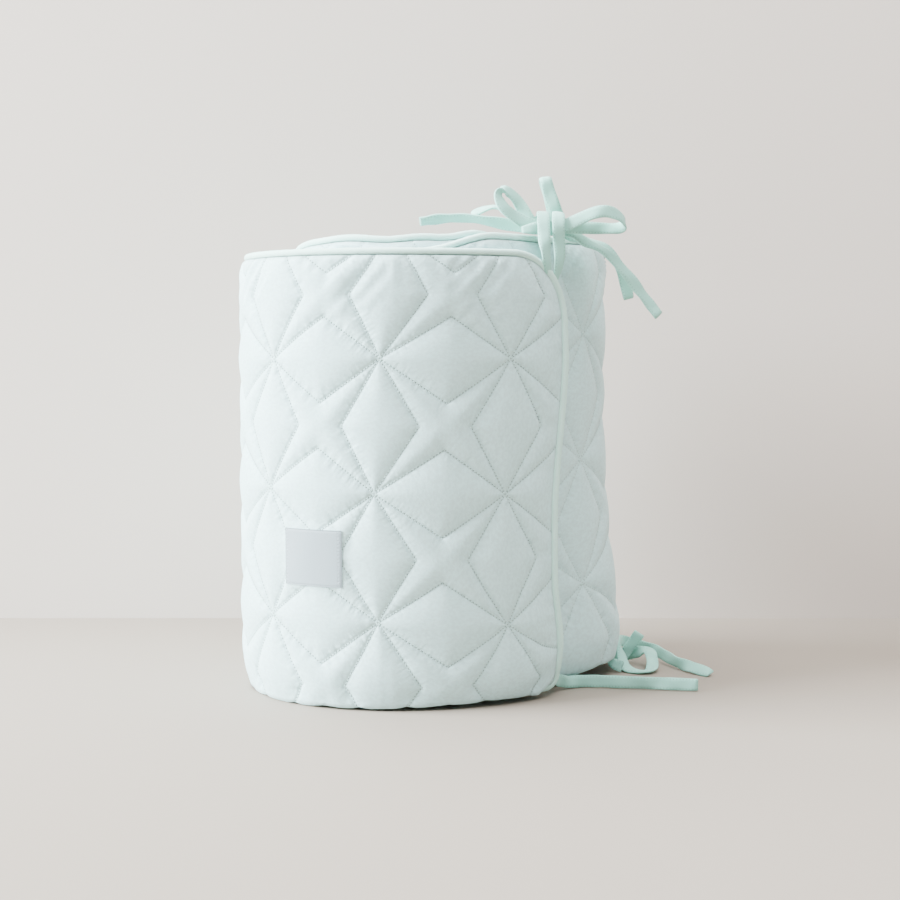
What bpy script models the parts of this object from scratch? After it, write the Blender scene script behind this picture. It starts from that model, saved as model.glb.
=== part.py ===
"""A quilted crib bumper, wound up on its long edge into an upright roll.

The pad is one long quilted panel with a corded edge. It is wound inwards from its free end at the
front right, so that its plan is an oval spiral. A woven label is sewn to its face. Cloth ties at
the free end are tied to those of the next turn, in a bow at the top and a looser one on the floor.

The pad is drawn flat first: along is the distance from the free end, up the height above the hem,
and out the distance from the middle of its thickness. Winding turns those three into the roll.
"""

import math

import bmesh
import bpy
import numpy as np
from mathutils import Vector
from mathutils.geometry import delaunay_2d_cdt

MM = 0.001

# The pad, flat
PAD_LENGTH = 1800 * MM
PAD_HEIGHT = 300 * MM
TOP_CORNER = 46 * MM
HEM_CORNER = 12 * MM
PUFF_THICKNESS = 15 * MM
SEAM_THICKNESS = 8 * MM
PUFF_RUN = 8 * MM
RIM_THICKNESS = 3.6 * MM
RIM_RUN = 17 * MM
RIM_RINGS = (4 * MM, 14 * MM)
RIM_STATION = 17 * MM
CORNER_STEPS = 5

# The quilting: rhombs tip to tip on a square grid, with four-pointed stars between them
STAR_PITCH = 85.7 * MM
FIRST_COLUMN = 47.5 * MM
FIRST_ROW = 57 * MM
UPRIGHT_RHOMB = 0.61
LYING_RHOMB = 0.66
SEAM_MARGIN = 5 * MM
HEM_SEAM_MARGIN = 1.5 * MM

# Where the even pattern's heights lie on the pad: the foot takes up some of the cloth
PATTERN_HEIGHTS = (
    {"up": 0.0 * MM, "even": -13.8 * MM},
    {"up": 13.8 * MM, "even": 0.0 * MM},
    {"up": 19.8 * MM, "even": 6.0 * MM},
    {"up": 32.8 * MM, "even": 27.0 * MM},
    {"up": 50.8 * MM, "even": 50.8 * MM},
    {"up": 300.0 * MM, "even": 300.0 * MM},
)

# How far the cloth is pulled out of its even pattern, in millimetres, along and up: one row for each
# height of PULL_UP, one place in it for each of PULL_ALONG
PULL_ALONG = (0, 47.5, 133.2, 218.9, 304.6, 700, 1800)
PULL_UP = (10, 57, 142.7, 228.4, 285.8)
PULLED_ALONG = (
    (-0.6, -0.6, 0.7, -7.3, -7.3, -15, -15),
    (-0.6, -0.6, 0.7, -7.3, -7.3, -15, -15),
    (-0.6, -0.6, 2, -6, -6.5, -16.5, -16.5),
    (1.4, 1.4, 1.8, -9.2, -9, -19.5, -19.5),
    (0, 0, -6, -9.5, -9.5, -19.5, -19.5),
)
PULLED_UP = (
    (0, 0, 0, 0, 0, 0, 0),
    (-2.8, -2.8, 1.9, 2.4, 2, 6.4, 6.4),
    (-2, -2, -0.3, 1.5, 1.5, 5.9, 5.9),
    (0.7, 0.7, 0.9, 0, 0, 5.9, 5.9),
    (-2, -2, -2, -2, -1, 5.9, 5.9),
)
LAY_ROUNDS = 6

# The corded edge
CORD_DIAMETER = 5 * MM
CORD_SIDES = 6
CORD_GAP = 0.4 * MM

# The foot: the pad bulges down on both sides of the hem's cord and stands on the two rolls of cloth
FOOT = (
    {"inset": 0.0 * MM, "up": 5.8 * MM, "half": 1.8 * MM},
    {"inset": 4.0 * MM, "up": 0.0 * MM, "half": 4.6 * MM},
    {"inset": 8.0 * MM, "up": 0.0 * MM, "half": 6.4 * MM},
    {"inset": 14.0 * MM, "up": 6.0 * MM, "half": 7.0 * MM},
    {"inset": 27.0 * MM, "up": 27.0 * MM, "half": 7.5 * MM},
    {"inset": 45.0 * MM, "up": 50.8 * MM, "half": 7.5 * MM},
)
FOOT_LINE = 8 * MM
FOOT_FADE = 16 * MM
FOOT_TUCK = 6 * MM
FOOT_RISE = 32 * MM
SCALLOP = 1.4 * MM
SCALLOP_RUN = 8 * MM

# The winding, seen from above
OVAL_LONG = 144 * MM
OVAL_SHORT = 123 * MM
OVAL_TURN = math.radians(35.5)
FREE_END_ANGLE = math.radians(-36.5)
TURN_PITCH = 17.6 * MM
MOST_TURNS = 4
SPIRAL_STEPS = 3000
END_LIFT = 1.5 * MM
END_LIFT_RUN = 120 * MM
END_LEAN_RUN = 150 * MM
ROLL_CENTRE = (-38.7 * MM, 2.2 * MM)

# How far the free end's edge stands from the start of the spiral, by its height
LEANS = (
    {"up": 0 * MM, "lean": 3.5 * MM},
    {"up": 30 * MM, "lean": 4.5 * MM},
    {"up": 85 * MM, "lean": 10.3 * MM},
    {"up": 120 * MM, "lean": 10.7 * MM},
    {"up": 235 * MM, "lean": 1.8 * MM},
    {"up": 300 * MM, "lean": 1.8 * MM},
)

# How far the pad has slid up at its hem and top, slackened outwards and flared at its hem
SLIDES = (
    {"turns": 0.00, "hem": 0 * MM, "top": 0 * MM, "slack": 0 * MM, "flare": 0 * MM},
    {"turns": 0.60, "hem": 0 * MM, "top": 0 * MM, "slack": 0 * MM, "flare": 0 * MM},
    {"turns": 0.80, "hem": 8 * MM, "top": 8 * MM, "slack": 4 * MM, "flare": 15 * MM},
    {"turns": 0.90, "hem": 12 * MM, "top": 12 * MM, "slack": 9 * MM, "flare": 16 * MM},
    {"turns": 1.00, "hem": 5 * MM, "top": 11 * MM, "slack": 1 * MM, "flare": 1 * MM},
    {"turns": 1.07, "hem": 7 * MM, "top": 12 * MM, "slack": 0 * MM, "flare": 0 * MM},
    {"turns": 1.16, "hem": 2 * MM, "top": 0 * MM, "slack": 0 * MM, "flare": 0 * MM},
    {"turns": 1.70, "hem": 2 * MM, "top": 2 * MM, "slack": 0 * MM, "flare": 0 * MM},
    {"turns": 1.90, "hem": 8 * MM, "top": 9 * MM, "slack": 5 * MM, "flare": 2 * MM},
    {"turns": 2.10, "hem": 10 * MM, "top": 13 * MM, "slack": 0 * MM, "flare": 0 * MM},
    {"turns": 2.20, "hem": 8 * MM, "top": 10 * MM, "slack": 0 * MM, "flare": 0 * MM},
    {"turns": 2.28, "hem": 8 * MM, "top": 10 * MM, "slack": 0 * MM, "flare": 0 * MM},
    {"turns": 2.36, "hem": 3 * MM, "top": 3 * MM, "slack": 0 * MM, "flare": 0 * MM},
    {"turns": 4.00, "hem": 5 * MM, "top": 5 * MM, "slack": 0 * MM, "flare": 0 * MM},
)
FLARE_RISE = 170 * MM
FLARE_CURVE = 1.5

# The label
LABEL_WIDTH = 41 * MM
LABEL_HEIGHT = 37 * MM
LABEL_THICKNESS = 1 * MM
LABEL_ALONG = 176 * MM
LABEL_UP = 100 * MM
LABEL_BED = 6.4 * MM
LABEL_GAP = 0.4 * MM
LABEL_MARGIN = 5 * MM
LABEL_STEPS = 6

# The ties: cloth strips, each along a route of its own through these places, in millimetres from
# the middle of the roll, with the direction of the strip's width there
TIE_WIDTH = 9 * MM
TIE_THICKNESS = 1.5 * MM
TIE_STEP = 6
ROUTE_COLUMNS = ("x", "y", "z", "across_x", "across_y", "across_z")
ROUTES = {
    # from the free end's top corner, over the knot, to the left
    "top_tie_left": (
        (81.9, -88.6, 285.5, 0.75, 0.65, 0.0),
        (81.0, -88.4, 292.0, 0.75, 0.65, 0.0),
        (80.4, -87.4, 300.0, 0.8, 0.6, 0.0),
        (79.6, -85.4, 308.0, 0.9, 0.3, 0.0),
        (79.4, -81.8, 316.5, 1.0, 0.1, 0.0),
        (79.4, -77.5, 323.2, 1.0, 0.0, 0.0),
        (79.4, -72.5, 325.6, 1.0, 0.0, 0.0),
        (79.0, -68.2, 323.4, 1.0, 0.0, -0.2),
        (76.5, -66.6, 319.0, 0.6, 0.0, -0.8),
        (69.0, -66.4, 317.4, 0.1, 0.0, -1.0),
        (58.0, -66.6, 318.0, 0.0, 0.3, -0.9),
        (45.0, -66.0, 320.4, 0.0, 0.7, -0.7),
        (30.0, -65.0, 322.6, 0.0, 0.8, -0.6),
        (14.0, -64.5, 322.5, 0.0, 0.8, -0.6),
        (-3.0, -64.5, 320.5, 0.0, 0.7, -0.7),
    ),
    # from the free end's top corner, over the knot, and down to the right
    "top_tie_right": (
        (89.2, -82.2, 278.5, 0.75, 0.65, 0.0),
        (89.8, -81.2, 287.5, 0.75, 0.65, 0.0),
        (90.2, -80.0, 298.0, 0.8, 0.6, 0.0),
        (89.6, -80.2, 308.0, 0.9, 0.3, 0.0),
        (89.4, -81.4, 316.0, 1.0, 0.1, 0.0),
        (89.4, -77.8, 323.0, 1.0, 0.0, 0.0),
        (89.4, -72.6, 325.2, 1.0, 0.0, 0.0),
        (89.8, -67.9, 322.2, 1.0, 0.0, 0.2),
        (92.0, -65.6, 316.5, 0.7, 0.0, 0.7),
        (97.5, -62.0, 312.0, 0.3, 0.4, 0.8),
        (105.0, -56.5, 309.8, 0.0, 0.7, 0.6),
        (114.0, -52.0, 307.8, 0.2, 0.8, 0.4),
        (122.0, -50.5, 304.0, 0.5, 0.7, 0.4),
        (129.0, -49.5, 297.5, 0.7, 0.5, 0.4),
        (135.0, -48.5, 288.0, 0.9, 0.4, 0.3),
        (138.0, -47.5, 278.0, 0.9, 0.3, 0.2),
        (140.0, -47.0, 269.0, 0.9, 0.3, 0.2),
    ),
    # from the next turn's top edge, a loop to each side and a long end to the right
    "top_tie_bow": (
        (65.0, -77.9, 314.0, 0.0, 0.0, 1.0),
        (71.0, -78.3, 314.6, 0.0, 0.0, 1.0),
        (78.0, -77.3, 315.3, 0.0, 0.0, 1.0),
        (92.0, -76.8, 316.6, 0.0, 0.1, 1.0),
        (101.0, -77.0, 320.0, 0.0, 0.2, 1.0),
        (111.0, -77.0, 324.5, 0.0, 0.3, 0.9),
        (121.0, -75.5, 326.4, 0.0, 0.3, 0.9),
        (130.0, -72.0, 323.8, 0.0, 0.3, 0.9),
        (134.5, -68.0, 319.0, 0.0, 0.3, 0.9),
        (131.0, -65.5, 316.0, 0.0, 0.3, 0.9),
        (121.0, -66.5, 315.8, 0.0, 0.3, 0.9),
        (110.0, -69.5, 315.8, 0.0, 0.3, 0.9),
        (101.0, -72.6, 316.0, 0.0, 0.1, 1.0),
        (92.0, -74.2, 316.2, 0.0, 0.0, 1.0),
        (78.0, -74.4, 316.2, 0.0, 0.0, 1.0),
        (70.0, -75.0, 318.0, 0.1, 0.1, 1.0),
        (61.0, -76.2, 322.6, 0.3, 0.3, 0.8),
        (53.0, -77.0, 329.0, 0.5, 0.5, 0.6),
        (50.0, -73.5, 337.0, 0.6, 0.7, 0.3),
        (54.5, -69.8, 340.5, 0.6, 0.6, 0.5),
        (61.0, -68.6, 336.0, 0.5, 0.5, 0.7),
        (66.0, -69.0, 328.5, 0.4, 0.3, 0.9),
        (71.5, -70.8, 319.6, 0.1, 0.0, 1.0),
        (80.0, -72.0, 315.2, 0.0, 0.0, 1.0),
        (92.0, -71.6, 314.8, 0.0, 0.0, 1.0),
        (99.5, -69.0, 312.4, 0.0, 0.4, 0.9),
        (107.0, -65.8, 307.6, 0.1, 0.7, 0.6),
        (116.0, -62.5, 303.6, 0.3, 0.7, 0.5),
        (126.0, -60.0, 297.5, 0.5, 0.6, 0.5),
        (137.0, -57.5, 286.0, 0.6, 0.6, 0.5),
        (148.0, -55.0, 272.5, 0.7, 0.5, 0.5),
        (160.0, -53.0, 257.5, 0.7, 0.5, 0.5),
    ),
    # from the next turn's top edge, up through the knot in a standing loop, and to the left
    "top_tie_standing": (
        (84.5, -57.0, 311.6, -1.0, 0.2, 0.0),
        (86.0, -57.6, 320.0, -1.0, 0.1, 0.0),
        (86.5, -58.2, 330.0, -1.0, 0.0, -0.2),
        (84.0, -59.0, 340.0, -1.0, 0.0, -0.3),
        (81.8, -60.8, 347.0, -1.0, 0.0, -0.2),
        (81.6, -63.6, 349.0, -1.0, 0.0, -0.2),
        (82.2, -66.2, 346.0, -1.0, 0.0, -0.3),
        (84.5, -66.4, 338.0, -1.0, 0.0, -0.3),
        (88.0, -65.6, 329.0, -1.0, 0.0, -0.3),
        (90.0, -63.6, 322.0, -1.0, 0.0, 0.1),
        (87.0, -62.2, 316.8, -0.6, 0.0, 0.8),
        (79.0, -61.8, 316.6, -0.1, 0.0, 1.0),
        (70.0, -61.4, 319.4, 0.0, 0.4, 0.9),
        (60.0, -60.4, 325.0, 0.0, 0.8, 0.6),
        (50.0, -59.0, 330.4, 0.0, 0.9, 0.4),
        (41.0, -58.0, 329.4, 0.0, 0.9, 0.4),
        (32.0, -57.0, 325.5, 0.0, 0.9, 0.4),
    ),
    # from the free end's hem corner, on edge in front of the next turn, straight out on the floor
    "hem_tie_front": (
        (85.9, -69.9, 10.8, -0.1, 0.0, 1.0),
        (90.0, -65.4, 9.2, 0.0, 0.0, 1.0),
        (94.2, -59.6, 6.8, 0.0, 0.0, 1.0),
        (99.8, -54.8, 5.1, 0.0, 0.0, 1.0),
        (107.0, -51.6, 4.8, 0.0, 0.1, 1.0),
        (120.0, -51.4, 4.8, 0.0, 0.1, 1.0),
        (140.0, -54.8, 4.8, 0.0, 0.1, 1.0),
        (162.0, -58.4, 4.8, 0.0, 0.1, 1.0),
        (188.0, -63.0, 4.8, 0.0, 0.1, 1.0),
    ),
    # from the next turn's hem, through the knot to an upright end
    "hem_tie_upright": (
        (131.4, 17.0, 10.4, -0.7, 0.7, 0.0),
        (135.5, 21.5, 7.6, -0.3, 0.8, 0.4),
        (140.0, 26.0, 5.3, 0.0, 0.4, 0.9),
        (146.5, 27.2, 7.4, -0.3, 0.0, 0.9),
        (152.5, 26.8, 15.0, -0.6, 0.0, 0.8),
        (158.5, 26.0, 24.0, -0.6, 0.0, 0.8),
    ),
    # from the next turn's hem, a loop in front of the knot, over it, and out to the right
    "hem_tie_loop": (
        (129.8, 36.5, 9.1, 0.1, 1.0, 0.0),
        (135.5, 36.8, 6.2, 0.0, 0.7, 0.6),
        (143.0, 34.0, 5.0, 0.0, 0.1, 1.0),
        (151.0, 32.0, 6.4, 0.1, -0.1, 1.0),
        (159.0, 28.0, 9.6, 0.5, -0.3, 0.8),
        (164.5, 19.0, 11.6, 1.0, 0.1, 0.3),
        (165.6, 9.0, 8.5, 1.0, 0.0, 0.0),
        (164.8, 1.0, 4.4, 0.95, -0.3, 0.0),
        (161.5, -4.4, 1.9, 0.55, -0.85, 0.0),
        (155.5, -5.6, 1.3, -0.1, -1.0, 0.0),
        (149.0, -1.5, 1.6, -0.8, -0.6, 0.0),
        (145.2, 5.5, 3.4, -1.0, -0.2, 0.0),
        (144.0, 13.0, 8.6, -0.9, 0.0, 0.4),
        (143.4, 20.5, 14.4, -0.3, 0.0, 1.0),
        (143.4, 27.5, 17.2, 0.0, 0.0, 1.0),
        (145.8, 34.0, 16.6, 0.0, 0.0, 1.0),
        (152.0, 39.5, 14.0, 0.0, -0.1, 1.0),
        (161.0, 42.0, 11.5, 0.0, -0.2, 1.0),
        (171.0, 38.5, 8.8, 0.2, 0.0, 1.0),
        (179.0, 24.0, 6.2, 0.1, 0.0, 1.0),
        (186.0, 7.0, 4.9, 0.1, 0.1, 1.0),
        (195.0, -6.5, 4.3, 0.4, 0.4, 0.8),
        (205.0, -14.5, 2.0, 0.5, 0.8, 0.2),
    ),
    # from the next turn's hem, a short end on the floor
    "hem_tie_short": (
        (131.4, 9.6, 10.8, 0.6, 0.8, 0.0),
        (133.8, 5.8, 8.6, 0.5, 0.8, 0.1),
        (138.0, 1.2, 5.6, 0.2, 0.6, 0.7),
        (142.5, -3.5, 4.8, 0.0, 0.2, 1.0),
    ),
}

# The finishes: name, colour and roughness
COLLECTION = "crib_bumper"
QUILT_FINISH = ("mint_quilted_cotton", (0.74, 0.84, 0.82), 0.85)
TRIM_FINISH = ("mint_piping_cotton", (0.66, 0.82, 0.78), 0.8)
LABEL_FINISH = ("white_woven_label", (0.8, 0.82, 0.82), 0.6)


# ---- The winding ----


def eased(value, rows, key, column):
    """A table's column read at a value, with an ease in and out between its rows."""
    keys = np.array([row[key] for row in rows])
    values = np.array([row[column] for row in rows])
    index = np.clip(np.searchsorted(keys, value, side="right") - 1, 0, len(keys) - 2)
    part = np.clip((value - keys[index]) / (keys[index + 1] - keys[index]), 0, 1)
    part = part * part * (3 - 2 * part)
    return values[index] + (values[index + 1] - values[index]) * part


def straight(value, rows, key, column):
    """A table's column read at a value, straight between its rows."""
    return np.interp(value, [row[key] for row in rows], [row[column] for row in rows])


def winding():
    """The spiral along the pad's middle: distance from the free end, x, y and turns, as columns."""
    turns = np.linspace(0, MOST_TURNS, MOST_TURNS * SPIRAL_STEPS)
    angle = FREE_END_ANGLE - 2 * math.pi * turns
    long, short = OVAL_LONG - PUFF_THICKNESS / 2, OVAL_SHORT - PUFF_THICKNESS / 2
    oval = long * short / np.hypot(short * np.cos(angle - OVAL_TURN), long * np.sin(angle - OVAL_TURN))
    radius = oval - TURN_PITCH * turns + eased(turns, SLIDES, "turns", "slack")
    x, y = radius * np.cos(angle), radius * np.sin(angle)
    along = np.concatenate([[0], np.cumsum(np.hypot(np.diff(x), np.diff(y)))])
    return along, x, y, turns


SPIRAL = winding()


def wound(along, up, out):
    """Points of the flat pad, as rows of (along, up, out), at their places in the roll."""
    along, up, out = (np.asarray(value, float) for value in (along, up, out))
    reach = along + eased(up, LEANS, "up", "lean") * np.exp(-np.maximum(along, 0) / END_LEAN_RUN)
    table, xs, ys, all_turns = SPIRAL
    turns = np.interp(reach, table, all_turns)
    ahead, behind = reach + MM, np.maximum(reach - MM, 0)
    tangent = np.stack(
        [
            np.interp(ahead, table, xs) - np.interp(behind, table, xs),
            np.interp(ahead, table, ys) - np.interp(behind, table, ys),
        ],
        axis=-1,
    )
    tangent /= np.linalg.norm(tangent, axis=-1, keepdims=True)
    outward = np.stack([-tangent[..., 1], tangent[..., 0]], axis=-1)
    tuck = FOOT_TUCK * np.clip(1 - up / FOOT_RISE, 0, 1) ** 2
    tuck = tuck - END_LIFT * np.clip(1 - reach / END_LIFT_RUN, 0, 1) ** 2
    tuck = tuck - eased(turns, SLIDES, "turns", "flare") * np.clip(1 - up / FLARE_RISE, 0, 1) ** FLARE_CURVE
    hem, top = (eased(turns, SLIDES, "turns", column) for column in ("hem", "top"))
    before = np.minimum(reach, 0)
    shift = (out - tuck)[..., None] * outward + before[..., None] * tangent
    x = np.interp(reach, table, xs) + shift[..., 0] + ROLL_CENTRE[0]
    y = np.interp(reach, table, ys) + shift[..., 1] + ROLL_CENTRE[1]
    return np.stack([x, y, up + hem + (top - hem) * up / PAD_HEIGHT], axis=-1)


# ---- The quilted panel, flat ----


def outline(inset, spacing):
    """Points round the panel's flat shape, counted from the middle of the cord zone inwards."""
    edge = CORD_DIAMETER + CORD_GAP + inset
    low, high = FOOT[0]["up"] + inset, PAD_HEIGHT - edge
    left, right = edge, PAD_LENGTH - edge
    corners = (
        (left, low, HEM_CORNER, 180),
        (right, low, HEM_CORNER, 270),
        (right, high, TOP_CORNER, 0),
        (left, high, TOP_CORNER, 90),
    )
    points = []
    for x, y, size, start in corners:
        radius = max(size - edge, 2 * MM)
        middle = (x + math.copysign(radius, PAD_LENGTH / 2 - x), y + math.copysign(radius, PAD_HEIGHT / 2 - y))
        steps = CORNER_STEPS if radius > HEM_CORNER else 2
        for step in range(steps + 1):
            angle = math.radians(start + 90 * step / steps)
            points.append((middle[0] + radius * math.cos(angle), middle[1] + radius * math.sin(angle)))
    filled = []
    for here, there in zip(points, points[1:] + points[:1]):
        run = math.dist(here, there)
        count = max(1, round(run / spacing))
        for step in range(count):
            part = step / count
            filled.append((here[0] + (there[0] - here[0]) * part, here[1] + (there[1] - here[1]) * part))
    return filled


def pulled(along, up, table):
    """A table of pulls read at a flat place, straight between its rows and places."""
    rows = np.array([np.interp(along, np.array(PULL_ALONG) * MM, row) for row in table]) * MM
    place = np.interp(up, np.array(PULL_UP) * MM, np.arange(len(PULL_UP)))
    below = np.minimum(place.astype(int), len(PULL_UP) - 2)
    part = place - below
    return rows[below, np.arange(len(place))] * (1 - part) + rows[below + 1, np.arange(len(place))] * part


def even_place(along, up):
    """Where flat places lie in the even pattern, before the cloth is pulled."""
    along, up = np.atleast_1d(along).astype(float), np.atleast_1d(up).astype(float)
    moved = up - pulled(along, up, PULLED_UP)
    return along - pulled(along, up, PULLED_ALONG), straight(moved, PATTERN_HEIGHTS, "up", "even")


def laid_place(even):
    """The flat place of a point of the even pattern, found in rounds."""
    along, up = (np.array([value], float) for value in even)
    for _ in range(LAY_ROUNDS):
        here_along, here_up = even_place(along, up)
        along, up = along + even[0] - here_along, up + even[1] - here_up
    return float(along[0]), float(up[0])


def seam_distance(along, up):
    """How far flat places lie from the nearest line of stitching."""
    along, up = even_place(along, up)
    across = np.abs(((along - FIRST_COLUMN) / STAR_PITCH + 0.5) % 1 - 0.5)
    above = np.abs(((up - FIRST_ROW) / STAR_PITCH + 0.5) % 1 - 0.5)
    nearest = np.full(np.shape(across), 1.0)
    for tip in ((UPRIGHT_RHOMB / 2, 0.5), (0.5, LYING_RHOMB / 2)):
        length = tip[0] ** 2 + tip[1] ** 2
        part = np.clip((across * tip[0] + above * tip[1]) / length, 0, 1)
        nearest = np.minimum(nearest, np.hypot(across - part * tip[0], above - part * tip[1]))
    return nearest * STAR_PITCH


def rhomb(middle, upright):
    """The corners of a rhomb in order, starting with a hub."""
    half = STAR_PITCH / 2
    if upright:
        arms = ((0, -half), (UPRIGHT_RHOMB * half, 0), (0, half), (-UPRIGHT_RHOMB * half, 0))
    else:
        arms = ((-half, 0), (0, -LYING_RHOMB * half), (half, 0), (0, LYING_RHOMB * half))
    return [(middle[0] + x, middle[1] + y) for x, y in arms]


def clipped(here, there, border):
    """The part of a line inside a convex border, or None."""
    enter, leave = 0.0, 1.0
    step = (there[0] - here[0], there[1] - here[1])
    for a, b in zip(border, border[1:] + border[:1]):
        inward = (a[1] - b[1], b[0] - a[0])
        height = (here[0] - a[0]) * inward[0] + (here[1] - a[1]) * inward[1]
        slope = step[0] * inward[0] + step[1] * inward[1]
        if abs(slope) < 1e-12:
            if height < 0:
                return None
            continue
        cross = -height / slope
        if slope > 0:
            enter = max(enter, cross)
        else:
            leave = min(leave, cross)
    if leave - enter < 0.02:
        return None
    return [(here[0] + step[0] * part, here[1] + step[1] * part) for part in (enter, leave)]


def inside(point, border, margin):
    """True where a point lies inside a convex border by at least a margin."""
    for a, b in zip(border, border[1:] + border[:1]):
        run = math.dist(a, b)
        depth = ((point[0] - a[0]) * (a[1] - b[1]) + (point[1] - a[1]) * (b[0] - a[0])) / run
        if depth < margin:
            return False
    return True


def quilting(border, middle_border):
    """The stitching inside a border, as lines, and the free points that give the puffs their crowns."""
    lines, crowns = [], []
    columns = range(-2, int(PAD_LENGTH / STAR_PITCH) + 2)
    for column in columns:
        for row in range(-1, 4):
            hub = (FIRST_COLUMN + column * STAR_PITCH, FIRST_ROW + row * STAR_PITCH)
            half = STAR_PITCH / 2
            crowns.append(laid_place((hub[0] + half, hub[1] + half)))
            for middle, upright in (((hub[0], hub[1] + half), True), ((hub[0] + half, hub[1]), False)):
                corners = rhomb(middle, upright)
                crowns.append(laid_place(middle))
                for here, there in zip(corners, corners[1:] + corners[:1]):
                    between = laid_place(((here[0] + there[0]) / 2, (here[1] + there[1]) / 2))
                    crowns.append(laid_place(((here[0] + middle[0]) / 2, (here[1] + middle[1]) / 2)))
                    lines.append(clipped(laid_place(here), between, border))
                    lines.append(clipped(between, laid_place(there), border))
    crowns = [point for point in crowns if inside(point, middle_border, 3 * MM)]
    return [line for line in lines if line], crowns


def foot_line():
    """The line along which the pad's faces leave the floor."""
    low = FOOT[0]["up"] + FOOT_LINE
    first = CORD_DIAMETER + CORD_GAP + FOOT_FADE
    count = round((PAD_LENGTH - 2 * first) / RIM_STATION)
    return [(first + (PAD_LENGTH - 2 * first) * step / count, low) for step in range(count + 1)]


def label_border(margin):
    """The label's outline, larger by a margin, with points along its sides."""
    wide, high = LABEL_WIDTH / 2 + margin, LABEL_HEIGHT / 2 + margin
    sides = ((-1, -1), (0, -1), (1, -1), (1, 0), (1, 1), (0, 1), (-1, 1), (-1, 0))
    return [(LABEL_ALONG + wide * x, LABEL_UP + high * y) for x, y in sides]


def flat_panel():
    """The panel's flat net: points, triangles, and the points round its edge in order."""
    edge = outline(0, RIM_STATION)
    rings = [outline(inset, RIM_STATION) for inset in RIM_RINGS]
    lines, crowns = quilting(rings[0], rings[1])
    points, edges = list(edge), []
    loop = len(edge)
    edges += [(index, (index + 1) % loop) for index in range(loop)]
    for ring, margin in zip(rings, (HEM_SEAM_MARGIN, SEAM_MARGIN)):
        kept = [point for point in ring if seam_distance(point[0], point[1]) > margin]
        first = len(points)
        points += kept
        edges += [(first + index, first + (index + 1) % len(kept)) for index in range(len(kept))]
    low = [point for point in foot_line() if seam_distance(point[0], point[1]) > HEM_SEAM_MARGIN]
    first = len(points)
    points += low
    edges += [(first + index, first + index + 1) for index in range(len(low) - 1)]
    bed = label_border(LABEL_MARGIN)
    first = len(points)
    points += label_border(0)
    points += bed
    crowns = [point for point in crowns if not inside(point, bed, -2 * MM)]
    for here, there in lines:
        points += [here, there]
        edges.append((len(points) - 2, len(points) - 1))
    points += crowns
    found = delaunay_2d_cdt([Vector(point) for point in points], edges, [tuple(range(loop))], 1, 2e-4)
    flat = np.array([tuple(point) for point in found[0]])
    triangles = [tuple(face) for face in found[2]]
    return flat, triangles


def half_thickness(along, up, edge_depth):
    """Half of the pad's thickness: crowned between the seams and rounded off towards the rim."""
    crown = 1 - np.exp(-seam_distance(along, up) / PUFF_RUN)
    half = (SEAM_THICKNESS + (PUFF_THICKNESS - SEAM_THICKNESS) * crown) / 2
    near = np.clip(edge_depth / RIM_RUN, 0, 1)
    rim = RIM_THICKNESS / 2
    return rim + (half - rim) * np.sqrt(np.clip(1 - (1 - near) ** 2, 0, 1))


def edge_depths(flat, border):
    """How deep each flat point lies inside the panel's edge."""
    depths = np.full(len(flat), 1.0)
    for a, b in zip(border, border[1:] + border[:1]):
        run = math.dist(a, b)
        depth = ((flat[:, 0] - a[0]) * (a[1] - b[1]) + (flat[:, 1] - a[1]) * (b[0] - a[0])) / run
        depths = np.minimum(depths, depth)
    return np.maximum(depths, 0)


def faces_of_panel(flat):
    """The height and half thickness of the two faces of the panel over its flat points."""
    along, up = flat[:, 0], flat[:, 1]
    depth = edge_depths(flat, outline(0, RIM_STATION))
    half = half_thickness(along, up, depth)
    inset = up - FOOT[0]["up"]
    seam = seam_distance(along, up)
    edge = CORD_DIAMETER + CORD_GAP
    fade = np.clip((np.minimum(along, PAD_LENGTH - along) - edge) / FOOT_FADE, 0, 1)
    low = inset < FOOT[-1]["inset"]
    raised = straight(inset, FOOT, "inset", "up")
    raised += SCALLOP * np.clip(1 - seam / SCALLOP_RUN, 0, 1) ** 2 * (inset > MM) * (inset < 20 * MM)
    height = np.where(low, up + (raised - up) * fade, up)
    bulge = straight(inset, FOOT, "inset", "half")
    blend = np.clip(1 - (inset - FOOT_LINE) / (FOOT[3]["inset"] - FOOT_LINE), 0, 1) * fade
    half = half + (bulge - half) * blend * (depth > 0)
    return height, half


def label_bed(flat, half):
    """The outer face pressed flat under the label."""
    away_along = np.abs(flat[:, 0] - LABEL_ALONG) - LABEL_WIDTH / 2
    away_up = np.abs(flat[:, 1] - LABEL_UP) - LABEL_HEIGHT / 2
    away = np.maximum(away_along, away_up)
    press = np.clip(1 - away / LABEL_MARGIN, 0, 1)
    return half + (LABEL_BED - half) * press


def border_edges(triangles):
    """The edges of a net that have one triangle, as pairs that run with it."""
    count = {}
    for a, b, c in triangles:
        for pair in ((a, b), (b, c), (c, a)):
            count[tuple(sorted(pair))] = count.get(tuple(sorted(pair)), []) + [pair]
    return [pairs[0] for pairs in count.values() if len(pairs) == 1]


def new_object(name, points, faces, material):
    """A mesh object from points and faces, with its faces turned outwards."""
    mesh = bpy.data.meshes.new(name)
    mesh.from_pydata([tuple(point) for point in points], [], faces)
    shape = bmesh.new()
    shape.from_mesh(mesh)
    bmesh.ops.recalc_face_normals(shape, faces=shape.faces)
    shape.to_mesh(mesh)
    shape.free()
    mesh.materials.append(material)
    thing = bpy.data.objects.new(name, mesh)
    bpy.data.collections[COLLECTION].objects.link(thing)
    return thing


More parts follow.
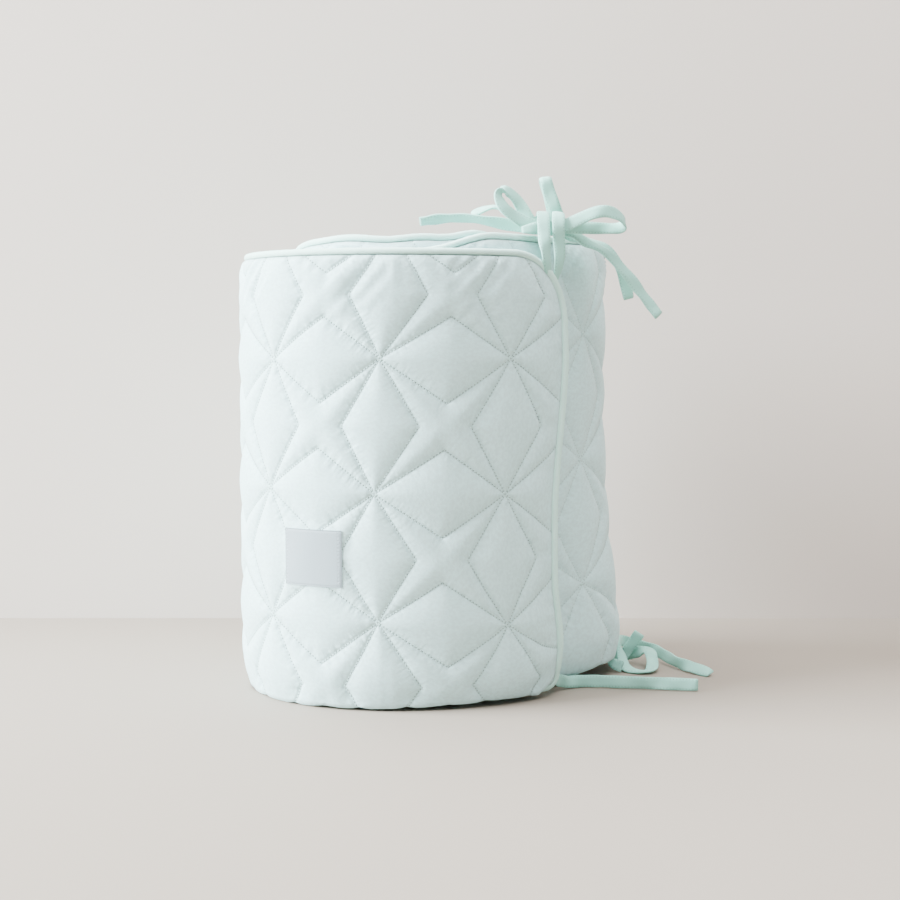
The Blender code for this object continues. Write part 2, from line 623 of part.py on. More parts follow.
def quilted_panel(material):
    """The quilted panel: its outer and inner faces over one flat net, closed round the rim."""
    flat, triangles = flat_panel()
    height, half = faces_of_panel(flat)
    outer = wound(flat[:, 0], height, label_bed(flat, half))
    inner = wound(flat[:, 0], height, -half)
    count = len(flat)
    faces = list(triangles)
    faces += [(c + count, b + count, a + count) for a, b, c in triangles]
    for a, b in border_edges(triangles):
        faces.append((b, a, a + count, b + count))
    panel = new_object("quilted_panel", np.concatenate([outer, inner]), faces, material)
    panel.data.shade_smooth()
    return panel


# ---- The corded edge ----


def cord_route():
    """The cord's middle, flat, round the panel's rim."""
    away = CORD_GAP + CORD_DIAMETER / 2
    route = outline(-away, RIM_STATION)
    return np.array(route)


def edge_piping(material):
    """The piping: a cord with flat sides along a closed route, wound with the pad."""
    flat = cord_route()
    ahead = np.roll(flat, -1, axis=0) - np.roll(flat, 1, axis=0)
    ahead /= np.linalg.norm(ahead, axis=1, keepdims=True)
    side = np.stack([ahead[:, 1], -ahead[:, 0]], axis=1)
    radius = CORD_DIAMETER / 2
    rings = []
    for corner in range(CORD_SIDES):
        angle = 2 * math.pi * corner / CORD_SIDES
        away = flat + side * radius * math.sin(angle)
        rings.append(wound(away[:, 0], away[:, 1], np.full(len(flat), radius * math.cos(angle))))
    points = np.stack(rings, axis=1).reshape(-1, 3)
    stations = len(flat)
    faces = []
    for station in range(stations):
        after = (station + 1) % stations
        for corner in range(CORD_SIDES):
            beside = (corner + 1) % CORD_SIDES
            faces.append(
                (
                    station * CORD_SIDES + corner,
                    station * CORD_SIDES + beside,
                    after * CORD_SIDES + beside,
                    after * CORD_SIDES + corner,
                )
            )
    piping = new_object("edge_piping", points, faces, material)
    piping.data.shade_smooth()
    return piping


# ---- The label ----


def woven_label(material):
    """The label: a thin plate that follows the pad's outer face."""
    steps = np.linspace(-0.5, 0.5, LABEL_STEPS + 1)
    along, up = np.meshgrid(LABEL_ALONG + steps * LABEL_WIDTH, LABEL_UP + steps * LABEL_HEIGHT)
    low = LABEL_BED + LABEL_GAP
    under = wound(along.ravel(), up.ravel(), np.full(along.size, low))
    over = wound(along.ravel(), up.ravel(), np.full(along.size, low + LABEL_THICKNESS))
    count, row = along.size, LABEL_STEPS + 1
    sheet = []
    for line in range(LABEL_STEPS):
        for cell in range(LABEL_STEPS):
            corner = line * row + cell
            sheet.append((corner, corner + 1, corner + 1 + row, corner + row))
    faces = sheet + [tuple(corner + count for corner in reversed(face)) for face in sheet]
    used = {}
    for face in sheet:
        for pair in zip(face, face[1:] + face[:1]):
            key = tuple(sorted(pair))
            used[key] = None if key in used else pair
    border = [pair for pair in used.values() if pair]
    faces += [(b, a, a + count, b + count) for a, b in border]
    return new_object("woven_label", np.concatenate([under, over]), faces, material)


# ---- The ties ----


def smooth_route(rows):
    """A smooth line through the rows of a tie's route, with its width directions."""
    knots = np.array(rows, float)
    first, last = 2 * knots[0] - knots[1], 2 * knots[-1] - knots[-2]
    knots = np.concatenate([[first], knots, [last]])
    spots = []
    for index in range(1, len(knots) - 2):
        before, here, there, after = knots[index - 1 : index + 3]
        run = np.linalg.norm((there - here)[:3])
        count = max(2, round(run / TIE_STEP))
        part = (np.arange(count) / count)[:, None]
        spots.append(
            0.5
            * (
                2 * here
                + (there - before) * part
                + (2 * before - 5 * here + 4 * there - after) * part**2
                + (3 * here - before - 3 * there + after) * part**3
            )
        )
    spots.append(knots[-2:-1])
    spots = np.concatenate(spots)
    return spots[:, :3] * MM, spots[:, 3:]


def tie(name, rows, material):
    """A flat cloth tie along its route: a strip with a rectangular section, square at its ends."""
    middle, across = smooth_route(rows)
    middle = middle + np.array([ROLL_CENTRE[0], ROLL_CENTRE[1], 0])
    ahead = np.gradient(middle, axis=0)
    ahead /= np.linalg.norm(ahead, axis=1, keepdims=True)
    across = across - ahead * np.sum(across * ahead, axis=1, keepdims=True)
    across /= np.linalg.norm(across, axis=1, keepdims=True)
    through = np.cross(ahead, across)
    wide, thick = TIE_WIDTH / 2, TIE_THICKNESS / 2
    corners = ((-1, -1), (1, -1), (1, 1), (-1, 1))
    rings = [middle + across * wide * a + through * thick * b for a, b in corners]
    points = np.stack(rings, axis=1).reshape(-1, 3)
    count = len(middle)
    faces = [(0, 1, 2, 3), tuple(4 * (count - 1) + corner for corner in (3, 2, 1, 0))]
    for station in range(count - 1):
        for corner in range(4):
            here, beside = 4 * station + corner, 4 * station + (corner + 1) % 4
            faces.append((here, here + 4, beside + 4, beside))
    return new_object(name, points, faces, material)


# ---- Materials ----


def finish(name, colour, roughness):
    """A Principled material of one colour."""
    material = bpy.data.materials.new(name)
    material.use_nodes = True
    shader = material.node_tree.nodes["Principled BSDF"]
    shader.inputs["Base Color"].default_value = (*colour, 1)
    shader.inputs["Roughness"].default_value = roughness
    shader.inputs["Metallic"].default_value = 0
    material.diffuse_color = (*colour, 1)
    return material


def main():
    """Empty the scene, then build each piece of the roll."""
    for thing in list(bpy.data.objects):
        bpy.data.objects.remove(thing)
    bpy.context.scene.collection.children.link(bpy.data.collections.new(COLLECTION))
    trim = finish(*TRIM_FINISH)
    quilted_panel(finish(*QUILT_FINISH))
    edge_piping(trim)
    woven_label(finish(*LABEL_FINISH))
    for name, rows in ROUTES.items():
        tie(name, rows, trim)


main()
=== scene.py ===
"""The quilted crib bumper, rolled up and tied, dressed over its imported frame."""

import math

import bpy
import numpy as np
from bpy.props import FloatProperty, FloatVectorProperty, IntProperty, PointerProperty
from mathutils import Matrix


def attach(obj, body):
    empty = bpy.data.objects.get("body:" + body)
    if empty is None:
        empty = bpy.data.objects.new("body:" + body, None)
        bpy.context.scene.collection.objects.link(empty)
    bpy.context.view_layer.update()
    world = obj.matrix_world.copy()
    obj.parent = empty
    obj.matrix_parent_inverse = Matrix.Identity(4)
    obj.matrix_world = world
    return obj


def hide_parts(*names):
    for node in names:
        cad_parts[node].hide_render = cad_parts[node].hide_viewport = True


bl_info = {
    "name": "Quilted crib bumper",
    "version": (1, 0, 0),
    "blender": (4, 5, 0),
    "location": "3D View > Sidebar > Bumper",
    "description": "Builds a rolled quilted crib bumper with its piping, ties and label",
    "category": "Object",
}

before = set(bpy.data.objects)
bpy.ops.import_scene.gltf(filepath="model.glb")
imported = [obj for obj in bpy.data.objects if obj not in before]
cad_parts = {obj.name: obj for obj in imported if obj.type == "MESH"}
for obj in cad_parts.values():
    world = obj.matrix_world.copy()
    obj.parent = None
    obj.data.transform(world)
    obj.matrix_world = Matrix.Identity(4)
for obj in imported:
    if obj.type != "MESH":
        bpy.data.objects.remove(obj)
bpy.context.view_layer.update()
MM = 0.001

# ---- The pad's pattern, flat, as the frame has it ----

PAD_LENGTH = 1800 * MM
PAD_HEIGHT = 300 * MM
TOP_CORNER = 46 * MM
HEM_CORNER = 12 * MM
SEAM_THICKNESS = 8 * MM
PUFF_RUN = 8 * MM
RIM_THICKNESS = 4.6 * MM
RIM_RUN = 17 * MM
END_RIM_RUN = 45 * MM
STAR_PITCH = 85.7 * MM
FIRST_COLUMN = 47.5 * MM
FIRST_ROW = 57 * MM
UPRIGHT_RHOMB = 0.61
LYING_RHOMB = 0.66

# The net's steps: along the front, along what shows behind it, past that, up, and under the top cord
FRONT_LENGTH, FRONT_STEP = 345 * MM, 2.4 * MM
SEEN_LENGTH, SEEN_STEP = 860 * MM, 3.3 * MM
HIDDEN_STEP = 9 * MM
ROW_STEP = 2.9 * MM
TOP_LENGTH, TOP_STEP = 40 * MM, 2.2 * MM
RIM_STEPS = np.array([0, 0.5, 1.3, 2.6, 4.4, 6.6, 9.2, 12]) * MM

# Past this place the outer turn presses the pad: its grooves are shallower and its lines fainter
PRESSED_FROM = 650 * MM
PRESSED_RUN = 100 * MM
PRESSED = 0.45

# Where the even pattern's heights lie on the pad: the foot takes up some of the cloth
PATTERN_UP = np.array([0, 13.8, 19.8, 32.8, 50.8, 300]) * MM
PATTERN_EVEN = np.array([-13.8, 0, 6, 27, 50.8, 300]) * MM

# How far the cloth is pulled out of that pattern, along and up, in mm: a row for each height
PULL_ALONG = np.array([0, 47.5, 133.2, 218.9, 304.6, 700, 1800]) * MM
PULL_UP = np.array([10, 57, 142.7, 228.4, 285.8]) * MM
PULLED_ALONG = np.array([
    (-0.6, -0.6, 0.7, -7.3, -7.3, -15, -15),
    (-0.6, -0.6, 0.7, -7.3, -7.3, -15, -15),
    (-0.6, -0.6, 2, -6, -6.5, -16.5, -16.5),
    (1.4, 1.4, 1.8, -9.2, -9, -19.5, -19.5),
    (0, 0, -6, -9.5, -9.5, -19.5, -19.5),
])
PULLED_UP = np.array([
    (0, 0, 0, 0, 0, 0, 0),
    (-2.8, -2.8, 1.9, 2.4, 2, 6.4, 6.4),
    (-2, -2, -0.3, 1.5, 1.5, 5.9, 5.9),
    (0.7, 0.7, 0.9, 0, 0, 5.9, 5.9),
    (-2, -2, -2, -2, -1, 5.9, 5.9),
])
SNAP_ROUNDS = 6
SNAP_DEPTH = 7 * MM

# The foot's rows: distance in from the hem, height, half thickness
FOOT = np.array([
    (0, 5.8, 1.8), (4, 0, 4.6), (8, 0, 6.4), (14, 6, 7), (27, 27, 7.5), (45, 50.8, 7.5),
]) * MM
FOOT_LINE = 8 * MM
FOOT_FADE = 16 * MM
FOOT_TUCK = 6 * MM
FOOT_RISE = 32 * MM
SCALLOP = 1.4 * MM
SCALLOP_RUN = 8 * MM
SCALLOP_INSET = (1 * MM, 20 * MM)

# In from the pad's edge: the line where the cord is sewn on, with the cord's middle outside it, and the rim
SEAM_INSET = 5.4 * MM
CORD_AWAY = 2.9 * MM
RIM_EDGE = 4.8 * MM
RIM_LOW = FOOT[0, 1] - (SEAM_INSET - RIM_EDGE)
RIM_HIGH = PAD_HEIGHT - RIM_EDGE
TOP_ROUND = TOP_CORNER - RIM_EDGE
HEM_ROUND = HEM_CORNER - RIM_EDGE

# The small folds beside a line of quilting: their lengths in mm, and how far from it they fade
RIPPLES = (7, 9.6)
RIPPLE_RUN = 5 * MM

# An uneven wave's phase drifts by this much, over this many of its lengths
DRIFT = 1.7
DRIFT_LENGTHS = 5.3

# Where in a pitch the folds bunch up under the top cord, how widely and how they slant; folds' lengths in mm
GATHER_PLACE = 0.28
GATHER_SPREAD = 0.2
GATHER_SLANT = 0.9
GATHER_BAND = 60 * MM
GATHER_DEPTH = 2.1
RIM_FOLD_DEPTH = 0.4
RIM_FOLDS = (9.5, 13.3, 22)
RIM_FOLD_RUN = 13 * MM
SLANTED_FOLDS = (10.5, 14.6)
SLANTED_RUN = 17 * MM
SEAM_CLEAR = 4 * MM

# ---- The roll ----

ROLL_CENTRE = np.array([-38.7, 2.2, 0]) * MM
OVAL_LONG = 144 * MM
OVAL_SHORT = 123 * MM
OVAL_THICKNESS = 15 * MM
OVAL_TURN = math.radians(35.5)
FREE_END_ANGLE = math.radians(-36.5)
TURN_PITCH = 17.6 * MM
MOST_TURNS = 4
SPIRAL_STEPS = 3000
END_LIFT = 1.5 * MM
END_LIFT_RUN = 120 * MM
EDGE_LIFT = 2.4 * MM
EDGE_LIFT_RUN = 35 * MM
EDGE_LIFT_UP = (15 * MM, 45 * MM, 230 * MM, 270 * MM)
CORD_RIPPLE = 0.05
CORD_LIFT = 1.3 * MM
CORD_LIFT_RUN = 60 * MM
CORD_LIFT_RISE = 40 * MM
END_LEAN_RUN = 150 * MM

# Along the pad, how far its front foot stands off the floor, in mm
FRONT_LIFT = np.array([(0, 1.2), (20, 3), (55, 3.8), (100, 2.4), (150, 1.2), (205, 0)])
FRONT_LIFT_RISE = 60 * MM

# Height, then how far the free end's edge stands from the start of the spiral, in mm
LEANS = np.array([(0, 3.5), (30, 4.5), (85, 10.3), (120, 10.7), (235, 1.8), (300, 1.8)])

# Turns from the free end, then how far the pad is slid up at its hem and top, slack and flared, in mm
SLIDES = np.array([
    (0, 0, 0, 0, 0), (0.6, 0, 0, 0, 0), (0.8, 8, 8, 4, 15), (0.9, 12, 12, 9, 16), (1, 5, 11, 1, 1),
    (1.07, 7, 12, 0, 0), (1.16, 2, 0, 0, 0), (1.7, 2, 2, 0, 0), (1.9, 8, 9, 5, 2), (2.1, 10, 13, 0, 0),
    (2.2, 8, 10, 0, 0), (2.28, 8, 10, 0, 0), (2.36, 3, 3, 0, 0), (4, 5, 5, 0, 0),
])
HEM, TOP, SLACK, FLARE = 1, 2, 3, 4
FLARE_RISE = 170 * MM
FLARE_CURVE = 1.5
TOP_WAVE = 1.8 * MM
TOP_WAVES = (46, 71)
TOP_WAVE_FROM = 1.1

# ---- The label ----

LABEL_ALONG = 176 * MM
LABEL_UP = 100 * MM
LABEL_WIDTH = 41 * MM
LABEL_HEIGHT = 37 * MM
LABEL_BED = 6.4 * MM
LABEL_GAP = 0.4 * MM
LABEL_MARGIN = 5 * MM
LABEL_ROUND = 1.2 * MM
LABEL_HEM = 2 * MM
LABEL_STITCH = 2.4 * MM

# ---- The ties: rows of x, y, z and the width's direction, in mm from the roll's middle ----

TIE_WIDTH = 8.8 * MM
TIE_THICKNESS = 2.1 * MM
TIE_SECTION = ((0.55, TIE_WIDTH), (0.75, TIE_THICKNESS))
TIE_STEP = 1.2 * MM
TIE_SIDES = 18
TIE_TWIST = 0.24
TIE_STITCH = 2.2 * MM
TIE_CUP = 0.6 * MM
TIE_CAUGHT_RUN = 9 * MM
TIES = {
    # free end's top corner, over the knot, to the left
    "top_tie_left": (
        (82.6, -84.6, 284.5, 0.75, 0.65, 0), (81.4, -86.8, 291.5, 0.75, 0.65, 0),
        (80.4, -87.4, 300, 0.8, 0.6, 0), (79.6, -85.4, 308, 0.9, 0.3, 0), (79.4, -81.8, 316.5, 1, 0.1, 0),
        (79.4, -77.5, 323.2, 1, 0, 0), (79.4, -72.5, 325.6, 1, 0, 0), (79, -68.2, 323.4, 1, 0, -0.2),
        (76.5, -66.6, 319, 0.6, 0, -0.8), (69, -66.4, 317.4, 0.1, 0, -1), (58, -66.6, 318, 0, 0.3, -0.9),
        (45, -66, 320.4, 0, 0.7, -0.7), (30, -65, 322.6, 0, 0.8, -0.6), (14, -64.5, 322.5, 0, 0.8, -0.6),
        (-3, -64.5, 320.5, 0, 0.7, -0.7),
    ),
    # free end's top corner, over the knot, and down to the right
    "top_tie_right": (
        (87.6, -79.6, 280.5, 0.75, 0.65, 0), (89.2, -80.2, 288, 0.75, 0.65, 0), (90.2, -80, 298, 0.8, 0.6, 0),
        (89.6, -80.2, 308, 0.9, 0.3, 0), (89.4, -81.4, 316, 1, 0.1, 0), (89.4, -77.8, 323, 1, 0, 0),
        (89.4, -72.6, 325.2, 1, 0, 0), (89.8, -67.9, 322.2, 1, 0, 0.2), (92, -65.6, 316.5, 0.7, 0, 0.7),
        (97.5, -62, 312, 0.3, 0.4, 0.8), (105, -56.5, 309.8, 0, 0.7, 0.6), (114, -52, 307.8, 0.2, 0.8, 0.4),
        (122, -50.5, 304, 0.5, 0.7, 0.4), (129, -49.5, 297.5, 0.7, 0.5, 0.4),
        (135, -48.5, 288, 0.9, 0.4, 0.3), (138, -47.5, 278, 0.9, 0.3, 0.2), (140, -47, 269, 0.9, 0.3, 0.2),
    ),
    # next turn's top edge, a loop to each side and a long end to the right
    "top_tie_bow": (
        (65, -77.9, 314, 0, 0, 1), (71, -78.3, 314.6, 0, 0, 1), (78, -77.3, 315.3, 0, 0, 1),
        (92, -76.8, 316.6, 0, 0.1, 1), (101, -77, 320, 0, 0.2, 1), (111, -77, 324.5, 0, 0.3, 0.9),
        (121, -75.5, 326.4, 0, 0.3, 0.9), (130, -72, 323.8, 0, 0.3, 0.9), (134.5, -68, 319, 0, 0.3, 0.9),
        (131, -65.5, 316, 0, 0.3, 0.9), (121, -66.5, 315.8, 0, 0.3, 0.9), (110, -69.5, 315.8, 0, 0.3, 0.9),
        (101, -72.6, 316, 0, 0.1, 1), (92, -74.2, 316.2, 0, 0, 1), (78, -74.4, 316.2, 0, 0, 1),
        (70, -75, 318, 0.1, 0.1, 1), (61, -76.2, 322.6, 0.3, 0.3, 0.8), (53, -77, 329, 0.5, 0.5, 0.6),
        (50, -73.5, 337, 0.6, 0.7, 0.3), (54.5, -69.8, 340.5, 0.6, 0.6, 0.5), (61, -68.6, 336, 0.5, 0.5, 0.7),
        (66, -69, 328.5, 0.4, 0.3, 0.9), (71.5, -70.8, 319.6, 0.1, 0, 1), (80, -72, 315.2, 0, 0, 1),
        (92, -71.6, 314.8, 0, 0, 1), (99.5, -69, 312.4, 0, 0.4, 0.9), (107, -65.8, 307.6, 0.1, 0.7, 0.6),
        (116, -62.5, 303.6, 0.3, 0.7, 0.5), (126, -60, 297.5, 0.5, 0.6, 0.5),
        (137, -57.5, 286, 0.6, 0.6, 0.5), (148, -55, 272.5, 0.7, 0.5, 0.5), (160, -53, 257.5, 0.7, 0.5, 0.5),
    ),
    # next turn's top edge, up through the knot in a standing loop, and to the left
    "top_tie_standing": (
        (84.5, -57, 311.6, -1, 0.2, 0), (86, -57.6, 320, -1, 0.1, 0), (86.5, -58.2, 330, -1, 0, -0.2),
        (84, -59, 340, -1, 0, -0.3), (81.8, -60.8, 347, -1, 0, -0.2), (81.6, -63.6, 349, -1, 0, -0.2),
        (82.2, -66.2, 346, -1, 0, -0.3), (84.5, -66.4, 338, -1, 0, -0.3), (88, -65.6, 329, -1, 0, -0.3),
        (90, -63.6, 322, -1, 0, 0.1), (87, -62.2, 316.8, -0.6, 0, 0.8), (79, -61.8, 316.6, -0.1, 0, 1),
        (70, -61.4, 319.4, 0, 0.4, 0.9), (60, -60.4, 325, 0, 0.8, 0.6), (50, -59, 330.4, 0, 0.9, 0.4),
        (41, -58, 329.4, 0, 0.9, 0.4), (32, -57, 325.5, 0, 0.9, 0.4),
    ),
    # free end's hem corner, on edge in front of the next turn, straight out on the floor
    "hem_tie_front": (
        (85.9, -69.9, 10.8, -0.1, 0, 1), (90, -65.4, 9.2, 0, 0, 1), (94.2, -59.6, 6.8, 0, 0, 1),
        (99.8, -54.8, 5.1, 0, 0, 1), (107, -51.6, 4.8, 0, 0.1, 1), (120, -51.4, 4.8, 0, 0.1, 1),
        (140, -54.8, 4.8, 0, 0.1, 1), (162, -58.4, 4.8, 0, 0.1, 1), (188, -63, 4.8, 0, 0.1, 1),
    ),
    # next turn's hem, through the knot to an upright end
    "hem_tie_upright": (
        (131.4, 17, 10.4, -0.7, 0.7, 0), (135.5, 21.5, 7.6, -0.3, 0.8, 0.4), (140, 26, 5.3, 0, 0.4, 0.9),
        (146.5, 27.2, 7.4, -0.3, 0, 0.9), (152.5, 26.8, 15, -0.6, 0, 0.8), (158.5, 26, 24, -0.6, 0, 0.8),
    ),
    # next turn's hem, a loop in front of the knot, over it, and out to the right
    "hem_tie_loop": (
        (129.8, 36.5, 9.1, 0.1, 1, 0), (135.5, 36.8, 6.2, 0, 0.7, 0.6), (143, 34, 5, 0, 0.1, 1),
        (151, 32, 6.4, 0.1, -0.1, 1), (159, 28, 9.6, 0.5, -0.3, 0.8), (164.5, 19, 11.6, 1, 0.1, 0.3),
        (165.6, 9, 8.5, 1, 0, 0), (164.8, 1, 4.4, 0.95, -0.3, 0), (161.5, -4.4, 1.9, 0.55, -0.85, 0),
        (155.5, -5.6, 1.3, -0.1, -1, 0), (149, -1.5, 1.6, -0.8, -0.6, 0), (145.2, 5.5, 3.4, -1, -0.2, 0),
        (144, 13, 8.6, -0.9, 0, 0.4), (143.4, 20.5, 14.4, -0.3, 0, 1), (143.4, 27.5, 17.2, 0, 0, 1),
        (145.8, 34, 16.6, 0, 0, 1), (152, 39.5, 14, 0, -0.1, 1), (161, 42, 11.5, 0, -0.2, 1),
        (171, 38.5, 8.8, 0.2, 0, 1), (179, 24, 6.2, 0.1, 0, 1), (186, 7, 4.9, 0.1, 0.1, 1),
        (195, -6.5, 4.3, 0.4, 0.4, 0.8), (205, -14.5, 2, 0.5, 0.8, 0.2),
    ),
    # next turn's hem, a short end on the floor
    "hem_tie_short": (
        (131.4, 9.6, 10.8, 0.6, 0.8, 0), (133.8, 5.8, 8.6, 0.5, 0.8, 0.1), (138, 1.2, 5.6, 0.2, 0.6, 0.7),
        (142.5, -3.5, 4.8, 0, 0.2, 1),
    ),
}

# ---- Cloth, close up ----

COVER_WEAVE = 0.9 * MM
GROOVE = 2.6 * MM
PUCKER_LENGTH = 4.5 * MM
PUCKER_DRIFT = 60 * MM
PUCKER_REACH = (1 * MM, 9 * MM)
# How far in from the rim the painted shade beside the cord runs
RIM_SHADE_REACH = (0.3 * MM, 2.2 * MM)
LABEL_RIB = 0.55 * MM

# ---- The stage, in metres and degrees: the floor and the wall as lines of y and z ----

STAGE_REACH = 6.0
FLOOR_LINE = ((-5.0, 0), (5.0, 0))
WALL_LINE = ((0.222, 0), (0.222, 0.62))
CAMERA_PLACE = (-0.0212, -1.1098, 0.241)
CAMERA_DIP = 4.06
ROOM_COLOUR = (1, 0.985, 0.96, 1)
ROOM_STRENGTH = 0.48

# Name, place, target, size, share of the key light's power, and colour
LIGHTS = (
    ("key_light", (-2.95, -0.5, 1.7), (-0.04, 0, 0.15), 2.0, 1, (0.91, 0.98, 1)),
    ("top_light", (0.1, -0.4, 2.1), (0, 0, 0), 2.2, 0.11, (1, 0.99, 0.97)),
    ("back_light", (-0.6, 0.6, 1.9), (0, -0.1, 0), 1.0, 0.045, (1, 0.99, 0.97)),
)


# ---- Sizes and colours that a user can change ----


def length_setting(name, description, default, low, high):
    """A length property from millimetres."""
    return FloatProperty(
        name=name, description=description, default=default * MM, min=low * MM, max=high * MM, unit="LENGTH"
    )


def colour_setting(name, description, default):
    """A colour property, linear."""
    return FloatVectorProperty(
        name=name, description=description, default=default, min=0, max=1, subtype="COLOR"
    )


class BumperPanelSettings(bpy.types.PropertyGroup):
    """The quilted panel's fullness, gathers and cloth."""

    puff: length_setting("Puff", "Thickness of the pad at the middle of a puff", 15, 9, 18)
    gathers: length_setting("Gathers", "Depth of the small folds that run in from the corded edge", 2.3, 0, 3)
    ripple: length_setting("Ripple", "Depth of the small folds beside each line of quilting", 0.3, 0, 1)
    stitch: length_setting("Stitch", "Length of one stitch of the quilting", 2.3, 1, 6)
    cloth: colour_setting("Cloth", "Colour of the quilted cotton", (0.62, 0.9, 0.93))
    thread: colour_setting("Thread", "Colour of the quilting thread", (0.52, 0.77, 0.75))


class BumperTrimSettings(bpy.types.PropertyGroup):
    """The piping's and the ties' sizes and cloth."""

    cord: length_setting("Cord", "Diameter of the corded edge", 5.0, 3, 5.4)
    sides: IntProperty(name="Sides", description="Faces round the corded edge", default=14, min=6, max=24)
    cord_cloth: colour_setting("Cord cloth", "Colour of the piping", (0.62, 0.95, 0.88))
    cloth: colour_setting("Tie cloth", "Colour of the ties", (0.34, 0.71, 0.62))


class BumperLabelSettings(bpy.types.PropertyGroup):
    """The bare woven label."""

    thickness: length_setting("Thickness", "Thickness of the folded label", 0.9, 0.3, 1.4)
    weave: colour_setting("Weave", "Colour of the label", (0.33, 0.42, 0.47))


class BumperStageSettings(bpy.types.PropertyGroup):
    """The floor, the light and the camera."""

    floor: colour_setting("Floor", "Colour of the floor", (0.285, 0.245, 0.208))
    wall: colour_setting("Wall", "Colour of the backdrop", (0.64, 0.572, 0.525))
    key: FloatProperty(
        name="Key light", description="Power of the key light", default=950, min=0, max=3000, unit="POWER"
    )
    lens: FloatProperty(name="Lens", description="Focal length of the camera", default=61.9, min=20, max=200)


# ---- Winding the flat pad ----


def share(value, run):
    """How much of a run a value has gone through, from 0 to 1."""
    return np.clip(value / run, 0, 1)


def eased(value, table, column=1):
    """A table's column at a value, in metres: between two rows it goes as 3t^2 - 2t^3."""
    keys, values = table[:, 0], table[:, column] * MM
    row = np.clip(np.searchsorted(keys, value, side="right") - 1, 0, len(keys) - 2)
    part = share(value - keys[row], keys[row + 1] - keys[row])
    return values[row] + (values[row + 1] - values[row]) * part * part * (3 - 2 * part)


def drifting(value, lengths, seeds):
    """A slow uneven wave from about -1 to 1: the mean of sines, lengths in mm, whose phases drift."""
    waves = []
    for length, seed in zip(np.array(lengths) * MM, seeds):
        drift = DRIFT * np.sin(2 * math.pi * value / (length * DRIFT_LENGTHS) + seed * 2)
        waves.append(np.sin(2 * math.pi * value / length + seed + drift))
    return sum(waves) / len(waves)


def unit(vectors):
    """Each row at a length of 1."""
    return vectors / np.linalg.norm(vectors, axis=1, keepdims=True)


def evenly(track, step, scale=1.0):
    """A line's rows at equal steps along it, and how far along each lies."""
    lengths = np.linalg.norm(np.diff(track[:, :3], axis=0), axis=1)
    run = np.concatenate([[0], np.cumsum(lengths)]) * scale
    places = np.linspace(0, run[-1], round(run[-1] / step) + 1)
    return np.stack([np.interp(places, run, column) for column in track.T], axis=1), places


def spiral():
    """Distance along, x, y and turns of the pad's middle: an oval's radius less a pitch for each turn."""
    turns = np.linspace(0, MOST_TURNS, MOST_TURNS * SPIRAL_STEPS)
    angle = FREE_END_ANGLE - 2 * math.pi * turns
    long, short = OVAL_LONG - OVAL_THICKNESS / 2, OVAL_SHORT - OVAL_THICKNESS / 2
    oval = long * short / np.hypot(short * np.cos(angle - OVAL_TURN), long * np.sin(angle - OVAL_TURN))
    radius = oval - TURN_PITCH * turns + eased(turns, SLIDES, SLACK)
    x, y = radius * np.cos(angle), radius * np.sin(angle)
    along = np.concatenate([[0], np.cumsum(np.hypot(np.diff(x), np.diff(y)))])
    return along, x, y, turns


SPIRAL = spiral()


def wound(along, up, out):
    """Flat places (along, up, out) set on the spiral: out goes along its normal, up becomes height."""
    along, up, out = np.broadcast_arrays(along, up, out)
    reach = along + eased(up / MM, LEANS) * np.exp(-np.maximum(along, 0) / END_LEAN_RUN)
    table, xs, ys, all_turns = SPIRAL
    turns = np.interp(reach, table, all_turns)
    ahead, behind = reach + MM, np.maximum(reach - MM, 0)
    dx, dy = (np.interp(ahead, table, line) - np.interp(behind, table, line) for line in (xs, ys))
    run = np.hypot(dx, dy)
    dx, dy = dx / run, dy / run
    low = (1 - share(up, FLARE_RISE)) ** FLARE_CURVE
    tuck = FOOT_TUCK * (1 - share(up, FOOT_RISE)) ** 2 - eased(turns, SLIDES, FLARE) * low
    tuck = tuck - END_LIFT * (1 - share(reach, END_LIFT_RUN)) ** 2
    free = np.interp(up, EDGE_LIFT_UP, (0, 1, 1, 0))
    tuck = tuck - EDGE_LIFT * (1 - share(reach, EDGE_LIFT_RUN)) ** 2 * free
    hem, top = eased(turns, SLIDES, HEM), eased(turns, SLIDES, TOP)
    before = np.minimum(reach, 0)
    x = np.interp(reach, table, xs) - dy * (out - tuck) + dx * before
    y = np.interp(reach, table, ys) + dx * (out - tuck) + dy * before
    height = up + hem + (top - hem) * up / PAD_HEIGHT
    height = height + eased(reach / MM, FRONT_LIFT) * (1 - share(up, FRONT_LIFT_RISE)) ** 2
    wave = drifting(reach, TOP_WAVES, (0.7, 2.4)) * share(up / PAD_HEIGHT - 0.6, 0.4)
    height = height + TOP_WAVE * wave * share(turns - TOP_WAVE_FROM, 0.15)
    return np.stack([x, y, height], axis=-1) + ROLL_CENTRE


# ---- Meshes ----


def in_scene(name, data):
    """A new object of this data, in the scene."""
    made = bpy.data.objects.new(name, data)
    bpy.context.scene.collection.objects.link(made)
    return made


def make_piece(name, points, faces, places, material):
    """A mesh object from points, lists of faces of one size each, and a flat place for each point."""
    mesh = bpy.data.meshes.new(name)
    corners = np.concatenate([block.ravel() for block in faces])
    sizes = np.concatenate([np.full(len(block), block.shape[1]) for block in faces])
    mesh.vertices.add(len(points))
    mesh.vertices.foreach_set("co", points.astype(np.float32).ravel())
    mesh.loops.add(len(corners))
    mesh.loops.foreach_set("vertex_index", corners)
    mesh.polygons.add(len(sizes))
    mesh.polygons.foreach_set("loop_start", np.cumsum(sizes) - sizes)
    mesh.update(calc_edges=True)
    mesh.validate()
    mesh.shade_smooth()
    flat = mesh.attributes.new("flat", "FLOAT_VECTOR", "POINT")
    flat.data.foreach_set("vector", places.astype(np.float32).ravel())
    mesh.materials.append(material)
    return in_scene(name, mesh)


